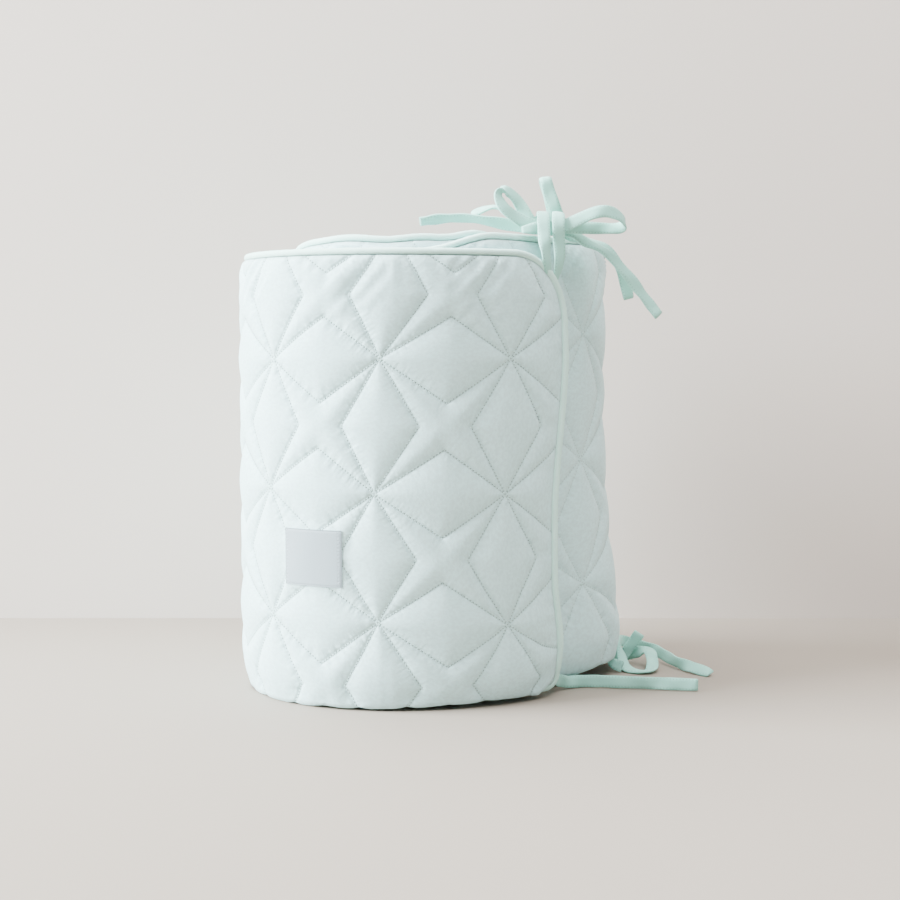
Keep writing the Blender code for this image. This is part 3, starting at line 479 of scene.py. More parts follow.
def net(lines, stations, closed=False):
    """Quads over a grid of lines by stations, round again to the first line where it is closed."""
    here = np.arange(lines if closed else lines - 1)[:, None] * stations + np.arange(stations - 1)
    beside = (here + stations) % (lines * stations)
    return np.stack([here, here + 1, beside + 1, beside], axis=-1).reshape(-1, 4)


def along_rim(length, runs):
    """Places from 0 to length, close together near both ends; runs are pairs of an end and a step."""
    places, start = [RIM_STEPS], RIM_STEPS[-1]
    for end, step in runs:
        end = min(end, length - RIM_STEPS[-1])
        places.append(np.linspace(start, end, max(1, round((end - start) / step)) + 1)[1:])
        start = end
    return np.concatenate(places + [(length - RIM_STEPS[:-1])[::-1]])


def two_faced(faces, columns, rows):
    """A net's faces, those of a second net whose points come after its own, and a band round both."""
    index, count = np.arange(columns * rows).reshape(columns, rows), columns * rows
    border = np.concatenate([index[:-1, 0], index[-1, :-1], index[:0:-1, -1], index[0, :0:-1]])
    after = np.roll(border, -1)
    band = np.stack([border + count, after + count, after, border], axis=1)
    return [faces, faces[:, ::-1] + count, band]


def as_rows(*values):
    """Three values over a grid, as one row of three for each point."""
    return np.stack(np.broadcast_arrays(*values), axis=-1).reshape(-1, 3)


def turned_out(points, faces):
    """The faces, all reversed where their volume from the origin comes out negative."""
    volume = 0
    for block in faces:
        for here, there in zip(block.T[1:-1], block.T[2:]):
            volume += np.sum(np.cross(points[block[:, 0]], points[here]) * points[there])
    return faces if volume > 0 else [block[:, ::-1] for block in faces]


# ---- The quilted panel ----


def off_hub(value, first):
    """How far a flat place lies from its nearest hub along one side, in pitches from -0.5 to 0.5."""
    return ((value - first) / STAR_PITCH + 0.5) % 1 - 0.5


def pulled(along, up, table):
    """How far the cloth is pulled at flat places: straight between the table's rows and places."""
    rows = np.stack([np.interp(along, PULL_ALONG, row * MM) for row in table])
    place = np.interp(up, PULL_UP, np.arange(len(PULL_UP)))
    below = np.minimum(place.astype(int), len(PULL_UP) - 2)
    low, high = (np.take_along_axis(rows, row[None], axis=0)[0] for row in (below, below + 1))
    return low + (high - low) * (place - below)


def even_place(along, up):
    """Where flat places lie in the even pattern, before the cloth is pulled."""
    moved = up - pulled(along, up, PULLED_UP)
    return along - pulled(along, up, PULLED_ALONG), np.interp(moved, PATTERN_UP, PATTERN_EVEN)


def seam_place(along, up):
    """Distance from the nearest line of quilting, and how far along that line from its hub."""
    along, up = even_place(along, up)
    across, above = np.abs(off_hub(along, FIRST_COLUMN)), np.abs(off_hub(up, FIRST_ROW))
    nearest, travelled = np.ones_like(across), np.zeros_like(across)
    for tip in ((UPRIGHT_RHOMB / 2, 0.5), (0.5, LYING_RHOMB / 2)):
        length = tip[0] ** 2 + tip[1] ** 2
        part = np.clip((across * tip[0] + above * tip[1]) / length, 0, 1)
        away = np.hypot(across - part * tip[0], above - part * tip[1])
        travelled = np.where(away < nearest, part * math.sqrt(length), travelled)
        nearest = np.minimum(nearest, away)
    return nearest * STAR_PITCH, travelled * STAR_PITCH


def off_lines(along, up):
    """How far sideways the steep quilting lines lie from flat places, and how far up the shallow ones."""
    along, up = even_place(along, up)
    across, above = off_hub(along, FIRST_COLUMN), off_hub(up, FIRST_ROW)
    sideways = (UPRIGHT_RHOMB * np.abs(above) - np.abs(across)) * np.sign(across)
    upwards = (LYING_RHOMB * np.abs(across) - np.abs(above)) * np.sign(above)
    return sideways * STAR_PITCH, upwards * STAR_PITCH


def snap_to_seams(along, up, wide, high):
    """Grid points moved onto the quilting lines that pass within half a step, and which ones moved.

    The steep lines take the nearest point of each row sideways, the shallow ones the nearest of each
    column up or down, so each line runs along edges of the net. Each move is found in rounds.
    """
    beside, above = along, up
    for _ in range(SNAP_ROUNDS):
        beside = beside + off_lines(beside, up)[0]
        above = above + off_lines(along, above)[1] * 0.75
    take_steep = np.abs(beside - along) < wide / 2
    take_shallow = (np.abs(above - up) < high / 2) & ~take_steep
    return np.where(take_steep, beside, along), np.where(take_shallow, above, up), take_steep | take_shallow


def rim_depth(along, up):
    """How deep a flat place lies inside the panel's rounded outline."""
    to_end = np.minimum(along - RIM_EDGE, PAD_LENGTH - RIM_EDGE - along)
    depth = np.minimum(np.minimum(to_end, up - RIM_LOW), RIM_HIGH - up)
    for size, gap in ((TOP_ROUND, RIM_HIGH - up), (HEM_ROUND, up - RIM_LOW)):
        inward, rise = size - to_end, size - gap
        depth = np.where((inward > 0) & (rise > 0), size - np.hypot(inward, rise), depth)
    return np.maximum(depth, 0)


def pad_faces(along, up, settings):
    """Height, and outward and inward distance, of the pad's two faces over its flat places.

    The pad is crowned as 1 - exp(-distance from the seam), rounded off at the rim as a quarter
    circle, flattened at its foot, and rippled beside its seams and its rim.
    """
    depth, to_end = rim_depth(along, up), np.minimum(along, PAD_LENGTH - along)
    seam, travelled = seam_place(along, up)
    crown = 1 - np.exp(-seam / PUFF_RUN)
    crown = crown + (1 - crown) * PRESSED * share(along - PRESSED_FROM, PRESSED_RUN)
    half = (SEAM_THICKNESS + (settings.puff - SEAM_THICKNESS) * crown) / 2
    end = 1 - share(along, END_RIM_RUN)
    near = share(depth, RIM_RUN * (1 + 1.3 * end))
    rim = RIM_THICKNESS / 2 * (1 - 0.4 * end)
    half = rim + (half - rim) * np.clip(1 - (1 - near) ** 2, 0, 1) ** (0.5 + 0.5 * end)
    inset = up - FOOT[0, 1]
    fade = share(to_end - SEAM_INSET, FOOT_FADE)
    raised = np.interp(inset, FOOT[:, 0], FOOT[:, 1])
    scalloped = (inset > SCALLOP_INSET[0]) * (inset < SCALLOP_INSET[1])
    raised = raised + SCALLOP * (1 - share(seam, SCALLOP_RUN)) ** 2 * scalloped
    height = np.where(inset < FOOT[-1, 0], up + (raised - up) * fade, up)
    bulge = np.interp(inset, FOOT[:, 0], FOOT[:, 2])
    blend = (1 - share(inset - FOOT_LINE, FOOT[3, 0] - FOOT_LINE)) * fade
    half = half + (bulge - half) * blend * (depth > 0)

    ripple = drifting(travelled + 3 * along, RIPPLES, (0.4, 2.1)) * np.exp(-seam / RIPPLE_RUN)
    ripple = ripple * share(seam, 1.5 * MM) * settings.ripple
    rim_run = np.where(np.minimum(up - RIM_LOW, RIM_HIGH - up) < to_end, along, up)
    gather = drifting(rim_run, RIM_FOLDS, (1.1, 0.2, 3)) * RIM_FOLD_DEPTH * np.exp(-depth / RIM_FOLD_RUN)
    bunch = ((even_place(along, up)[0] - FIRST_COLUMN) / STAR_PITCH) % 1 - GATHER_PLACE
    bunch = np.exp(-((bunch / GATHER_SPREAD) ** 2)) * (RIM_HIGH - up < GATHER_BAND)
    slanted = drifting(rim_run - GATHER_SLANT * depth, SLANTED_FOLDS, (0.9, 2.2))
    slanted = slanted * np.exp(-depth / SLANTED_RUN) * (1 - np.exp(-((seam / SEAM_CLEAR) ** 2)))
    gather = (gather + bunch * GATHER_DEPTH * slanted) * share(depth, 3 * MM) * settings.gathers
    gather = gather * share(inset, 20 * MM)
    outer, inner = half + ripple + gather, half - ripple - gather * 0.6
    beside, above = np.abs(along - LABEL_ALONG) - LABEL_WIDTH / 2, np.abs(up - LABEL_UP) - LABEL_HEIGHT / 2
    outer = outer + (LABEL_BED - outer) * (1 - share(np.maximum(beside, above), LABEL_MARGIN))
    return height, outer, inner


def panel_net():
    """The panel's grid of flat places, with its rows bent round the corners and the points on seams."""
    length, height = PAD_LENGTH - 2 * RIM_EDGE, RIM_HIGH - RIM_LOW
    column = along_rim(length, ((FRONT_LENGTH, FRONT_STEP), (SEEN_LENGTH, SEEN_STEP), (length, HIDDEN_STEP)))
    row = along_rim(height, ((height - TOP_LENGTH, ROW_STEP), (height, TOP_STEP)))
    wide, tall = np.gradient(column)[:, None], np.gradient(row)[None, :]
    to_end = np.minimum(column, length - column)
    top_drop, hem_rise = (
        size - np.sqrt(np.maximum(size**2 - np.maximum(size - to_end, 0) ** 2, 0))
        for size in (TOP_ROUND, HEM_ROUND)
    )
    along = np.broadcast_to((column + RIM_EDGE)[:, None], (len(column), len(row)))
    foot, head = (RIM_LOW + hem_rise)[:, None], (RIM_HIGH - top_drop)[:, None]
    up = foot + (head - foot) * row[None, :] / height
    free = (rim_depth(along, up) > SNAP_DEPTH) & (along < SEEN_LENGTH)
    moved_along, moved_up, snapped = snap_to_seams(along, up, wide, tall)
    return np.where(free, moved_along, along), np.where(free, moved_up, up), snapped & free


def split_quads(quads, snapped):
    """Each quad as two triangles, cut along the corners that lie on a seam."""
    flags = snapped.ravel()[quads].T
    other = (flags[1] & flags[3] & ~(flags[0] & flags[2]))[:, None]
    first = np.where(other, quads[:, [0, 1, 3]], quads[:, [0, 1, 2]])
    second = np.where(other, quads[:, [1, 2, 3]], quads[:, [0, 2, 3]])
    return np.concatenate([first, second])


def quilted_cover(settings, material):
    """Both faces of the pad over one net, closed by a narrow band round the rim.

    Its flat places are those of the even pattern and the depth from the rim, plus 1 on the inward face.
    """
    along, up, snapped = panel_net()
    height, outer, inner = pad_faces(along, up, settings)
    faces = two_faced(split_quads(net(*along.shape), snapped), *along.shape)
    places = as_rows(*even_place(along, up), rim_depth(along, up))
    places = np.concatenate([places, places + np.array([0, 0, 1])])
    points = np.concatenate([wound(along, height, out) for out in (outer, -inner)]).reshape(-1, 3)
    return make_piece("quilted_cover", points, turned_out(points, faces), places, material)


# ---- The corded edge ----


def cord_track():
    """The cord's closed line round the flat pad, at equal steps: straight runs and quarter circles."""
    edge, low = SEAM_INSET - CORD_AWAY, FOOT[0, 1] - CORD_AWAY
    high, last, top, hem = PAD_HEIGHT - edge, PAD_LENGTH - edge, TOP_CORNER - edge, HEM_CORNER - edge
    corners = ((last, low, hem, 270), (last, high, top, 0), (edge, high, top, 90), (edge, low, hem, 180))
    parts = []
    for x, y, size, start in corners:
        middle = np.array([x, y]) + size * np.sign([PAD_LENGTH / 2 - x, PAD_HEIGHT / 2 - y])
        angle = np.radians(np.linspace(start, start + 90, 24))
        parts.append(middle + size * np.stack([np.cos(angle), np.sin(angle)], axis=1))
    return evenly(np.concatenate(parts + [parts[0][:1]]), FRONT_STEP)


def piping(settings, material):
    """A cord along the pad's outline: a circle carried round it, its radius rippled by the bias cloth."""
    flat, run = (values[:-1] for values in cord_track())
    ahead = unit(np.roll(flat, -1, axis=0) - np.roll(flat, 1, axis=0))
    side = np.stack([ahead[:, 1], -ahead[:, 0]], axis=1)
    angle = (np.arange(settings.sides) / settings.sides * 2 * math.pi)[:, None]
    ripple = CORD_RIPPLE * drifting(run + 1.1 * MM * angle, (6.1, 8.7), (0.3, 1.9))
    radius = settings.cord / 2 * (1 + ripple - 0.03)
    lift = (1 - share(flat[:, 0], CORD_LIFT_RUN)) * share(flat[:, 1], CORD_LIFT_RISE)
    sideways, outward = radius * np.sin(angle), radius * np.cos(angle) + CORD_LIFT * lift
    spots = flat + side * sideways[..., None]
    points = wound(spots[..., 0], spots[..., 1], outward).reshape(-1, 3)
    stations = len(flat)
    line = np.arange(settings.sides) * stations
    after = np.roll(line, -1)
    last = np.stack([line + stations - 1, line, after, after + stations - 1], axis=1)
    places = as_rows(run, settings.cord / 2 * angle, 0)
    faces = turned_out(points, [net(settings.sides, stations, closed=True), last])
    return make_piece("corded_edge", points, faces, places, material)


# ---- The ties ----


def smooth_route(rows):
    """Catmull-Rom through the rows of a route, at equal steps, with the width's directions."""
    knots = np.array(rows)
    knots = np.concatenate([[2 * knots[0] - knots[1]], knots, [2 * knots[-1] - knots[-2]]])
    part = np.linspace(0, 1, 25)[:-1, None]
    spots = []
    for before, here, there, after in zip(knots[:-3], knots[1:-2], knots[2:-1], knots[3:]):
        bend = 2 * before - 5 * here + 4 * there - after
        twist = 3 * here - before - 3 * there + after
        spots.append(0.5 * (2 * here + (there - before) * part + bend * part**2 + twist * part**3))
    smooth, places = evenly(np.concatenate(spots + [knots[-2:-1]]), TIE_STEP, MM)
    return smooth[:, :3] * MM + ROLL_CENTRE, smooth[:, 3:], places


def strip(name, rows, material):
    """A folded cloth strip: a flat rounded section carried along its route, a little cupped and uneven."""
    middle, across, run = smooth_route(rows)
    ahead = unit(np.gradient(middle, axis=0))
    across = unit(across - ahead * np.sum(across * ahead, axis=1, keepdims=True))
    through = np.cross(ahead, across)
    count = TIE_SIDES
    angle = np.arange(count) / count * 2 * math.pi
    wide, thick = (
        np.sign(part) * np.abs(part) ** power * size / 2
        for part, (power, size) in zip((np.cos(angle), np.sin(angle)), TIE_SECTION)
    )
    seed = len(name) * 0.7 + rows[0][0]
    twist = TIE_TWIST * drifting(run, (19, 33), (seed + 4, seed + 1))[:, None]
    cos, sin = np.cos(twist), np.sin(twist)
    across, through = across * cos + through * sin, through * cos - across * sin
    waver = 1 + 0.03 * drifting(run, (17, 29), (seed, seed + 1)) - 0.03
    blunt = share(np.minimum(run, run[-1] - run), 0.7 * MM) ** 0.5
    hem = 1 + 0.35 * (1 - share(np.abs(run[-1] - run - 3 * MM), 3.2 * MM))
    caught = 0.5 + 0.5 * share(run, TIE_CAUGHT_RUN)
    wide = wide[:, None] * (waver * caught * (0.94 + 0.06 * blunt))
    thick = thick[:, None] * (np.maximum(blunt, 0.25) * hem)
    cup = TIE_CUP * drifting(run, (23, 41), (seed + 2, seed))
    thick = thick + cup * (1 - (2 * wide / TIE_WIDTH) ** 2)
    points = middle + across * wide[..., None] + through * thick[..., None]
    stations = len(run)
    points = np.concatenate([points.reshape(-1, 3), middle[[0, -1]]])
    faces, ring = [net(count, stations, closed=True)], np.arange(count) * stations
    for centre, end in enumerate((ring, ring[::-1] + stations - 1), count * stations):
        faces.append(np.stack([np.full(count, centre), end, np.roll(end, -1)], axis=1))
    places = np.concatenate([as_rows(run, wide, 0), [[run[0], 0, 0], [run[-1], 0, 0]]])
    piece = make_piece(name, points, turned_out(points - middle.mean(axis=0), faces), places, material)
    return piece, float(run[-1])


# ---- The label ----


def label_sheet(settings, material):
    """The label: a thin sheet over the pressed bed, with its two ends folded under as a rounded edge."""
    sides, rows = 42, 38
    width, height = np.linspace(-0.5, 0.5, sides) * LABEL_WIDTH, np.linspace(-0.5, 0.5, rows) * LABEL_HEIGHT
    across, rise = np.meshgrid(width, height, indexing="ij")
    to_edge = np.minimum(LABEL_WIDTH / 2 - np.abs(across), LABEL_HEIGHT / 2 - np.abs(rise))
    swell = np.sqrt(np.clip(1 - (1 - share(to_edge, LABEL_ROUND)) ** 2, 0, 1))
    low = LABEL_BED + LABEL_GAP * 0.3
    wave = 0.25 * MM * np.sin(across / LABEL_WIDTH * 5.1 + 0.8) * np.cos(rise / LABEL_HEIGHT * 3.3)
    wave = wave * share(to_edge, 6 * MM)
    high = low + 0.35 * MM + (settings.thickness - 0.2 * MM) * swell + np.maximum(wave, 0)
    places = np.tile(as_rows(across, rise, 0), (2, 1))
    sheets = [wound(LABEL_ALONG + across, LABEL_UP + rise, out) for out in (high, low)]
    points = np.concatenate(sheets).reshape(-1, 3)
    faces = turned_out(points - points.mean(axis=0), two_faced(net(sides, rows), sides, rows))
    return make_piece("bare_label", points, faces, places, material)


# ---- Materials ----


class Cloth:
    """A material under way: its node tree, with short ways to add the nodes that cloth needs."""

    def __init__(self, name, roughness, sheen):
        self.material = bpy.data.materials.new(name)
        self.material.use_nodes = True
        self.tree = self.material.node_tree
        self.shader = self.tree.nodes["Principled BSDF"]
        looks = {"Roughness": roughness, "Sheen Weight": sheen, "Sheen Roughness": 0.5}
        for key, value in (looks | {"Specular IOR Level": 0.25}).items():
            self.shader.inputs[key].default_value = value

    def node(self, kind, sockets=None, **values):
        """A new node with its settings, then its input sockets, set or linked by name or number."""
        made = self.tree.nodes.new(kind)
        for key, value in values.items():
            setattr(made, key, value)
        for key, value in (sockets or {}).items():
            self.link(value, made.inputs[key])
        return made

    def link(self, source, target):
        if isinstance(source, (int, float, tuple)):
            target.default_value = source
        else:
            self.tree.links.new(source, target)

    def math(self, operation, *values):
        return self.node("ShaderNodeMath", dict(enumerate(values)), operation=operation).outputs[0]

    def times(self, first, second):
        return self.math("MULTIPLY", first, second)

    def minus(self, first, second):
        return self.math("SUBTRACT", first, second)

    def apart(self, first, second):
        return self.math("ABSOLUTE", self.minus(first, second))

    def place(self):
        """The flat place of the surface point, as its three numbers and as a vector, in metres."""
        read = self.node("ShaderNodeAttribute", attribute_name="flat").outputs["Vector"]
        split = self.node("ShaderNodeSeparateXYZ", {0: read})
        return *split.outputs, read

    def noise(self, vector, per_metre, detail=2.0):
        sockets = {"Scale": per_metre, "Detail": detail, "Vector": vector}
        return self.node("ShaderNodeTexNoise", sockets).outputs["Fac"]

    def blend(self, amount, first, second):
        sockets = {"Factor": amount, 6: first, 7: second}
        return self.node("ShaderNodeMix", sockets, data_type="RGBA").outputs[2]

    def falloff(self, value, start, end):
        """1 below start, 0 above end, smooth between."""
        sockets = {"Value": value, "From Min": start, "From Max": end, "To Min": 1, "To Max": 0}
        return self.node("ShaderNodeMapRange", sockets, interpolation_type="SMOOTHSTEP").outputs["Result"]

    def beat(self, way, length):
        """Distance from the middle of the nearest stitch, in stitches."""
        return self.apart(self.math("FRACT", self.times(way, 1 / length)), 0.5)

    def off_row(self, value, place):
        """Distance from the nearer of two rows, one on each side of the middle."""
        return self.apart(self.math("ABSOLUTE", value), place)

    def stitches(self, row, beat, thread, hole_shade):
        """Where a row shows its thread, and where its needle holes show, to be painted as shade; each starts
        and ends at a beat.
        """
        holes = self.minus(1, self.falloff(beat, *hole_shade))
        return self.times(row, self.falloff(beat, *thread)), self.times(row, holes)

    def ribs(self, way, pitch):
        return self.math("SINE", self.times(way, 2 * math.pi / pitch))

    def weave(self, x, y, pitch):
        """A plain weave's height: the product of two sines, one for each set of threads."""
        return self.times(self.ribs(x, pitch), self.ribs(y, pitch))

    def fold(self, value, first):
        """Distance from the nearest hub along one side, in pitches."""
        turns = self.math("MULTIPLY_ADD", self.minus(value, first), 1 / STAR_PITCH, 0.5)
        return self.apart(self.math("FRACT", turns), 0.5)

    def seam(self, across, above, tip):
        """Distance from one quilting line and the way along it, both in metres."""
        length = tip[0] ** 2 + tip[1] ** 2
        dot = self.math("MULTIPLY_ADD", above, tip[1] / length, self.times(across, tip[0] / length))
        part = self.math("MINIMUM", self.math("MAXIMUM", dot, 0.0), 1.0)
        x = self.minus(across, self.times(part, tip[0]))
        y = self.minus(above, self.times(part, tip[1]))
        square = self.math("ADD", self.times(x, x), self.times(y, y))
        away = self.times(self.math("SQRT", square), STAR_PITCH)
        return away, self.times(part, math.sqrt(length) * STAR_PITCH)

    def tinted(self, tone, colour, *layers):
        """A tone with layers over it: each is a mask, its share, and how light a shade of the colour."""
        for mask, part, factor in layers:
            tone = self.blend(self.times(mask, part), tone, shade(colour, factor))
        return tone

    def relief(self, height, *layers):
        """A height with layers added, each of them times its factor."""
        for layer, factor in layers:
            height = self.math("MULTIPLY_ADD", layer, factor, height)
        return height

    def finished(self, tone, height, depth):
        """The material, with its tone, and bumps as deep as a height of 1 stands for."""
        self.link(tone, self.shader.inputs["Base Color"])
        made = self.node("ShaderNodeBump", {"Strength": 1, "Distance": depth, "Height": height})
        self.link(made.outputs["Normal"], self.shader.inputs["Normal"])
        return self.material


def shade(colour, factor):
    """A colour made lighter or darker by a factor, with its alpha."""
    return tuple(min(1.0, value * factor) for value in colour) + (1.0,)


def quilted_cotton(settings):
    """Fine cotton with slubs; along each quilting line it is grooved, with thread and needle holes, and the
    grooves, the holes and a band along the rim are painted darker as shade.
    """
    cloth = Cloth("quilted_cotton", 0.86, 0.25)
    x, y, depth, vector = cloth.place()
    across, above = cloth.fold(x, FIRST_COLUMN), cloth.fold(y, FIRST_ROW)
    first, way_first = cloth.seam(across, above, (UPRIGHT_RHOMB / 2, 0.5))
    second, way_second = cloth.seam(across, above, (0.5, LYING_RHOMB / 2))
    nearer = cloth.math("LESS_THAN", first, second)
    away = cloth.math("MINIMUM", first, second)
    way = cloth.math("ADD", cloth.times(way_first, nearer), cloth.times(way_second, cloth.minus(1, nearer)))
    free = cloth.falloff(x, PRESSED_FROM, PRESSED_FROM + PRESSED_RUN)
    outer = cloth.math("MULTIPLY_ADD", free, PRESSED, 1 - PRESSED)
    on_line = cloth.times(cloth.falloff(away, 0.25 * MM, 0.6 * MM), outer)
    # The needle holes are darkened below as painted shade in their dimples
    thread, hole_shade = cloth.stitches(on_line, cloth.beat(way, settings.stitch), (0.2, 0.34), (0.3, 0.42))
    # The grooves sink the bump and darken the tone as painted shade
    groove_and_shade = cloth.times(cloth.falloff(away, 0, GROOVE), outer)
    slub, patch = cloth.noise(vector, 380, 4), cloth.noise(vector, 24)
    beside = {0: cloth.times(way, 1 / PUCKER_LENGTH), 1: cloth.times(x, 1 / PUCKER_DRIFT)}
    pucker = cloth.noise(cloth.node("ShaderNodeCombineXYZ", beside).outputs[0], 1, 1)
    pucker = cloth.times(cloth.minus(pucker, 0.5), cloth.falloff(away, *PUCKER_REACH))
    # Painted shade on both faces along the rim, where the pad meets its cord
    painted_rim_shade = cloth.falloff(cloth.math("FRACT", depth), *RIM_SHADE_REACH)
    tone = cloth.blend(patch, shade(settings.cloth, 0.975), shade(settings.cloth, 1.025))
    tone = cloth.blend(cloth.falloff(slub, 0.35, 0.65), tone, shade(settings.cloth, 0.9))
    # Tints: painted shade in the grooves, the thread's own colour, painted shade in the needle holes, and
    # painted shade beside the cord
    lines = ((groove_and_shade, 0.08, 0.95), (thread, 0.5, 1), (hole_shade, 0.85, 0.42), (painted_rim_shade, 0.6, 0.68))
    tone = cloth.tinted(tone, settings.thread, *lines)
    weave = cloth.times(cloth.weave(x, y, COVER_WEAVE), 0.035)
    layers = ((slub, 0.16), (pucker, 1.1), (groove_and_shade, -0.55), (thread, 0.35), (hole_shade, -0.3))
    return cloth.finished(tone, cloth.relief(weave, *layers), 1 * MM)


def bias_cotton(colour, name, pitch, edge):
    """Mint cotton with a diagonal weave; edge is where a row of stitches runs along a strip, or 0."""
    cloth = Cloth(name, 0.82, 0.3)
    x, y, _, vector = cloth.place()
    slub, patch = cloth.noise(vector, 420, 4), cloth.noise(vector, 60)
    tone = cloth.blend(patch, shade(colour, 0.94), shade(colour, 1.05))
    weave = cloth.weave(cloth.math("ADD", x, y), cloth.minus(x, y), pitch)
    height = cloth.relief(cloth.times(weave, 0.05), (slub, 0.2))
    if edge:
        off = cloth.off_row(y, edge)
        row = cloth.falloff(off, 0.2 * MM, 0.5 * MM)
        thread, hole_shade = cloth.stitches(row, cloth.beat(x, TIE_STITCH), (0.25, 0.38), (0.32, 0.44))
        # The needle holes' dark tint is painted shade
        tone = cloth.tinted(tone, colour, (thread, 0.5, 1.12), (hole_shade, 0.6, 0.6))
        height = cloth.relief(height, (cloth.falloff(off, 0, 0.9 * MM), -0.3), (thread, 0.25))
    return cloth.finished(tone, height, 0.6 * MM)


def label_weave(settings):
    """A bare satin ribbon: close ribs across, a row of stitches inside each end, and painted shade along each
    folded end.
    """
    cloth = Cloth("label_satin", 0.5, 0.15)
    x, y, _, vector = cloth.place()
    slub = cloth.noise(vector, 500, 3)
    off = cloth.off_row(x, LABEL_WIDTH / 2 - LABEL_HEM)
    row = cloth.falloff(off, 0.25 * MM, 0.6 * MM)
    thread = cloth.times(row, cloth.falloff(cloth.beat(y, LABEL_STITCH), 0.25, 0.38))
    # Painted shade along both folded ends of the ribbon
    edge = cloth.falloff(cloth.minus(LABEL_WIDTH / 2, cloth.math("ABSOLUTE", x)), 0.2 * MM, 1.1 * MM)
    tone = cloth.blend(slub, shade(settings.weave, 0.97), shade(settings.weave, 1.04))
    tone = cloth.tinted(tone, settings.weave, (edge, 0.8, 0.4), (thread, 0.7, 1.15))
    layers = ((thread, 0.4), (cloth.falloff(off, 0, 1.1 * MM), -0.4))
    return cloth.finished(tone, cloth.relief(cloth.times(cloth.ribs(y, LABEL_RIB), 0.06), *layers), 0.5 * MM)


def plain_surface(name, colour, one_sided):
    """A matt stage surface with a trace of unevenness; a one-sided one can be seen through from behind."""
    cloth = Cloth(name, 0.7, 0.0)
    spot = cloth.node("ShaderNodeTexCoord")
    tone = cloth.blend(cloth.noise(spot.outputs["Object"], 6), shade(colour, 0.985), shade(colour, 1.015))
    cloth.link(tone, cloth.shader.inputs["Base Color"])
    if one_sided:
        behind = cloth.node("ShaderNodeNewGeometry").outputs["Backfacing"]
        clear = cloth.node("ShaderNodeBsdfTransparent").outputs[0]
        mixed = cloth.node("ShaderNodeMixShader", {0: behind, 1: cloth.shader.outputs[0], 2: clear})
        cloth.link(mixed.outputs[0], cloth.tree.nodes["Material Output"].inputs["Surface"])
    return cloth.material


# ---- Operators ----


class BUMPER_OT_panel(bpy.types.Operator):
    """Build the quilted pad, wound into its roll"""

    bl_idname = "bumper.panel"
    bl_label = "Build quilted panel"

    def execute(self, context):
        settings = context.scene.bumper_panel
        pad = quilted_cover(settings, quilted_cotton(settings))
        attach(pad, "root")
        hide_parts("quilted_panel")
        return {"FINISHED"}


class BUMPER_OT_piping(bpy.types.Operator):
    """Build the corded edge round the pad"""

    bl_idname = "bumper.piping"
    bl_label = "Build piping"

    def execute(self, context):
        settings = context.scene.bumper_trim
        cord = piping(settings, bias_cotton(settings.cord_cloth, "piping_cotton", 0.8 * MM, 0))
        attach(cord, "root")
        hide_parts("edge_piping")
        return {"FINISHED"}


class BUMPER_OT_ties(bpy.types.Operator):
    """Build the cloth ties of the bow at the top and of the knot on the floor"""

    bl_idname = "bumper.ties"
    bl_label = "Build ties"

    def execute(self, context):
        cloth = bias_cotton(context.scene.bumper_trim.cloth, "tie_cotton", 0.7 * MM, TIE_WIDTH / 2 - 1.1 * MM)
        for name, rows in TIES.items():
            tie, length = strip(name + "_cloth", rows, cloth)
            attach(tie, "root")
            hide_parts(name)
        return {"FINISHED"}


class BUMPER_OT_label(bpy.types.Operator):
    """Build the bare woven label"""

    bl_idname = "bumper.label"
    bl_label = "Build label"

    def execute(self, context):
        settings = context.scene.bumper_label
        label = label_sheet(settings, label_weave(settings))
        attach(label, "root")
        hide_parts("woven_label")
        return {"FINISHED"}


def soft_light(name, place, target, size, power, colour):
    """A large square light at a place, turned towards a target."""
    lamp = bpy.data.lights.new(name, "AREA")
    lamp.shape = "SQUARE"
    lamp.size, lamp.energy, lamp.color = size, power, colour
    light = in_scene(name, lamp)
    light.location = place
    away = np.subtract(place, target)
    tilt, turn = math.atan2(math.hypot(*away[:2]), away[2]), math.atan2(away[0], -away[1])
    light.rotation_euler = (tilt, 0, turn)


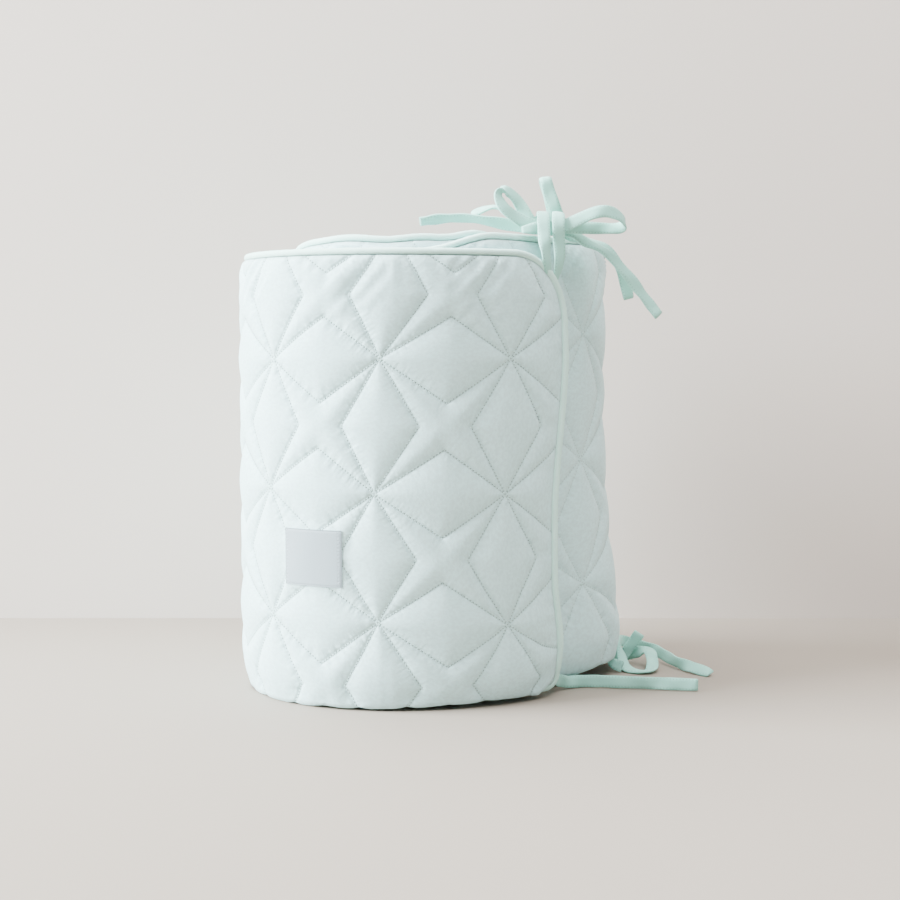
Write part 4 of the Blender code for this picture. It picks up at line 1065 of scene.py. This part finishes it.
class BUMPER_OT_stage(bpy.types.Operator):
    """Lay the pale floor and backdrop, and set the lights and the camera"""

    bl_idname = "bumper.stage"
    bl_label = "Build stage"

    def execute(self, context):
        settings = context.scene.bumper_stage
        for name, line, colour, one_sided in (
            ("stage_floor", FLOOR_LINE, settings.floor, False),
            ("stage_wall", WALL_LINE, settings.wall, True),
        ):
            points = np.array([(x, y, z) for x in (-STAGE_REACH, STAGE_REACH) for y, z in line])
            quads = net(2, 2)[:, ::-1]
            piece = make_piece(name, points, [quads], points, plain_surface(name, colour, one_sided))
        scene = context.scene
        camera = in_scene("camera", bpy.data.cameras.new("camera"))
        camera.data.lens, camera.data.sensor_width = settings.lens, 36
        camera.location = CAMERA_PLACE
        camera.rotation_euler = (math.radians(90 - CAMERA_DIP), 0, 0)
        scene.camera = camera
        for name, place, target, size, share, colour in LIGHTS:
            soft_light(name, place, target, size, settings.key * share, colour)
        scene.world = world = bpy.data.worlds.new("soft_room")
        world.use_nodes = True
        room = world.node_tree.nodes["Background"]
        room.inputs[0].default_value = ROOM_COLOUR
        room.inputs[1].default_value = ROOM_STRENGTH
        return {"FINISHED"}


class BUMPER_PT_sidebar(bpy.types.Panel):
    """The sidebar list of the bumper's pieces"""

    bl_idname = "BUMPER_PT_sidebar"
    bl_label = "Quilted bumper"
    bl_space_type = "VIEW_3D"
    bl_region_type = "UI"
    bl_category = "Bumper"

    def draw(self, context):
        for group, button in (
            ("bumper_panel", "bumper.panel"),
            ("bumper_trim", "bumper.piping"),
            ("bumper_trim", "bumper.ties"),
            ("bumper_label", "bumper.label"),
            ("bumper_stage", "bumper.stage"),
        ):
            box = self.layout.box()
            settings = getattr(context.scene, group)
            for key in settings.bl_rna.properties.keys():
                if key not in ("rna_type", "name"):
                    box.prop(settings, key)
            box.operator(button)


GROUPS = {
    "bumper_panel": BumperPanelSettings,
    "bumper_trim": BumperTrimSettings,
    "bumper_label": BumperLabelSettings,
    "bumper_stage": BumperStageSettings,
}
CLASSES = (
    *GROUPS.values(),
    BUMPER_OT_panel,
    BUMPER_OT_piping,
    BUMPER_OT_ties,
    BUMPER_OT_label,
    BUMPER_OT_stage,
    BUMPER_PT_sidebar,
)


def register():
    for made in CLASSES:
        bpy.utils.register_class(made)
    for name, group in GROUPS.items():
        setattr(bpy.types.Scene, name, PointerProperty(type=group))


def unregister():
    for name in GROUPS:
        delattr(bpy.types.Scene, name)
    for made in reversed(CLASSES):
        bpy.utils.unregister_class(made)


def main():
    """Register the classes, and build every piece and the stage."""
    register()
    bpy.ops.bumper.panel()
    bpy.ops.bumper.piping()
    bpy.ops.bumper.ties()
    bpy.ops.bumper.label()
    bpy.ops.bumper.stage()


if __name__ == "__main__":
    main()
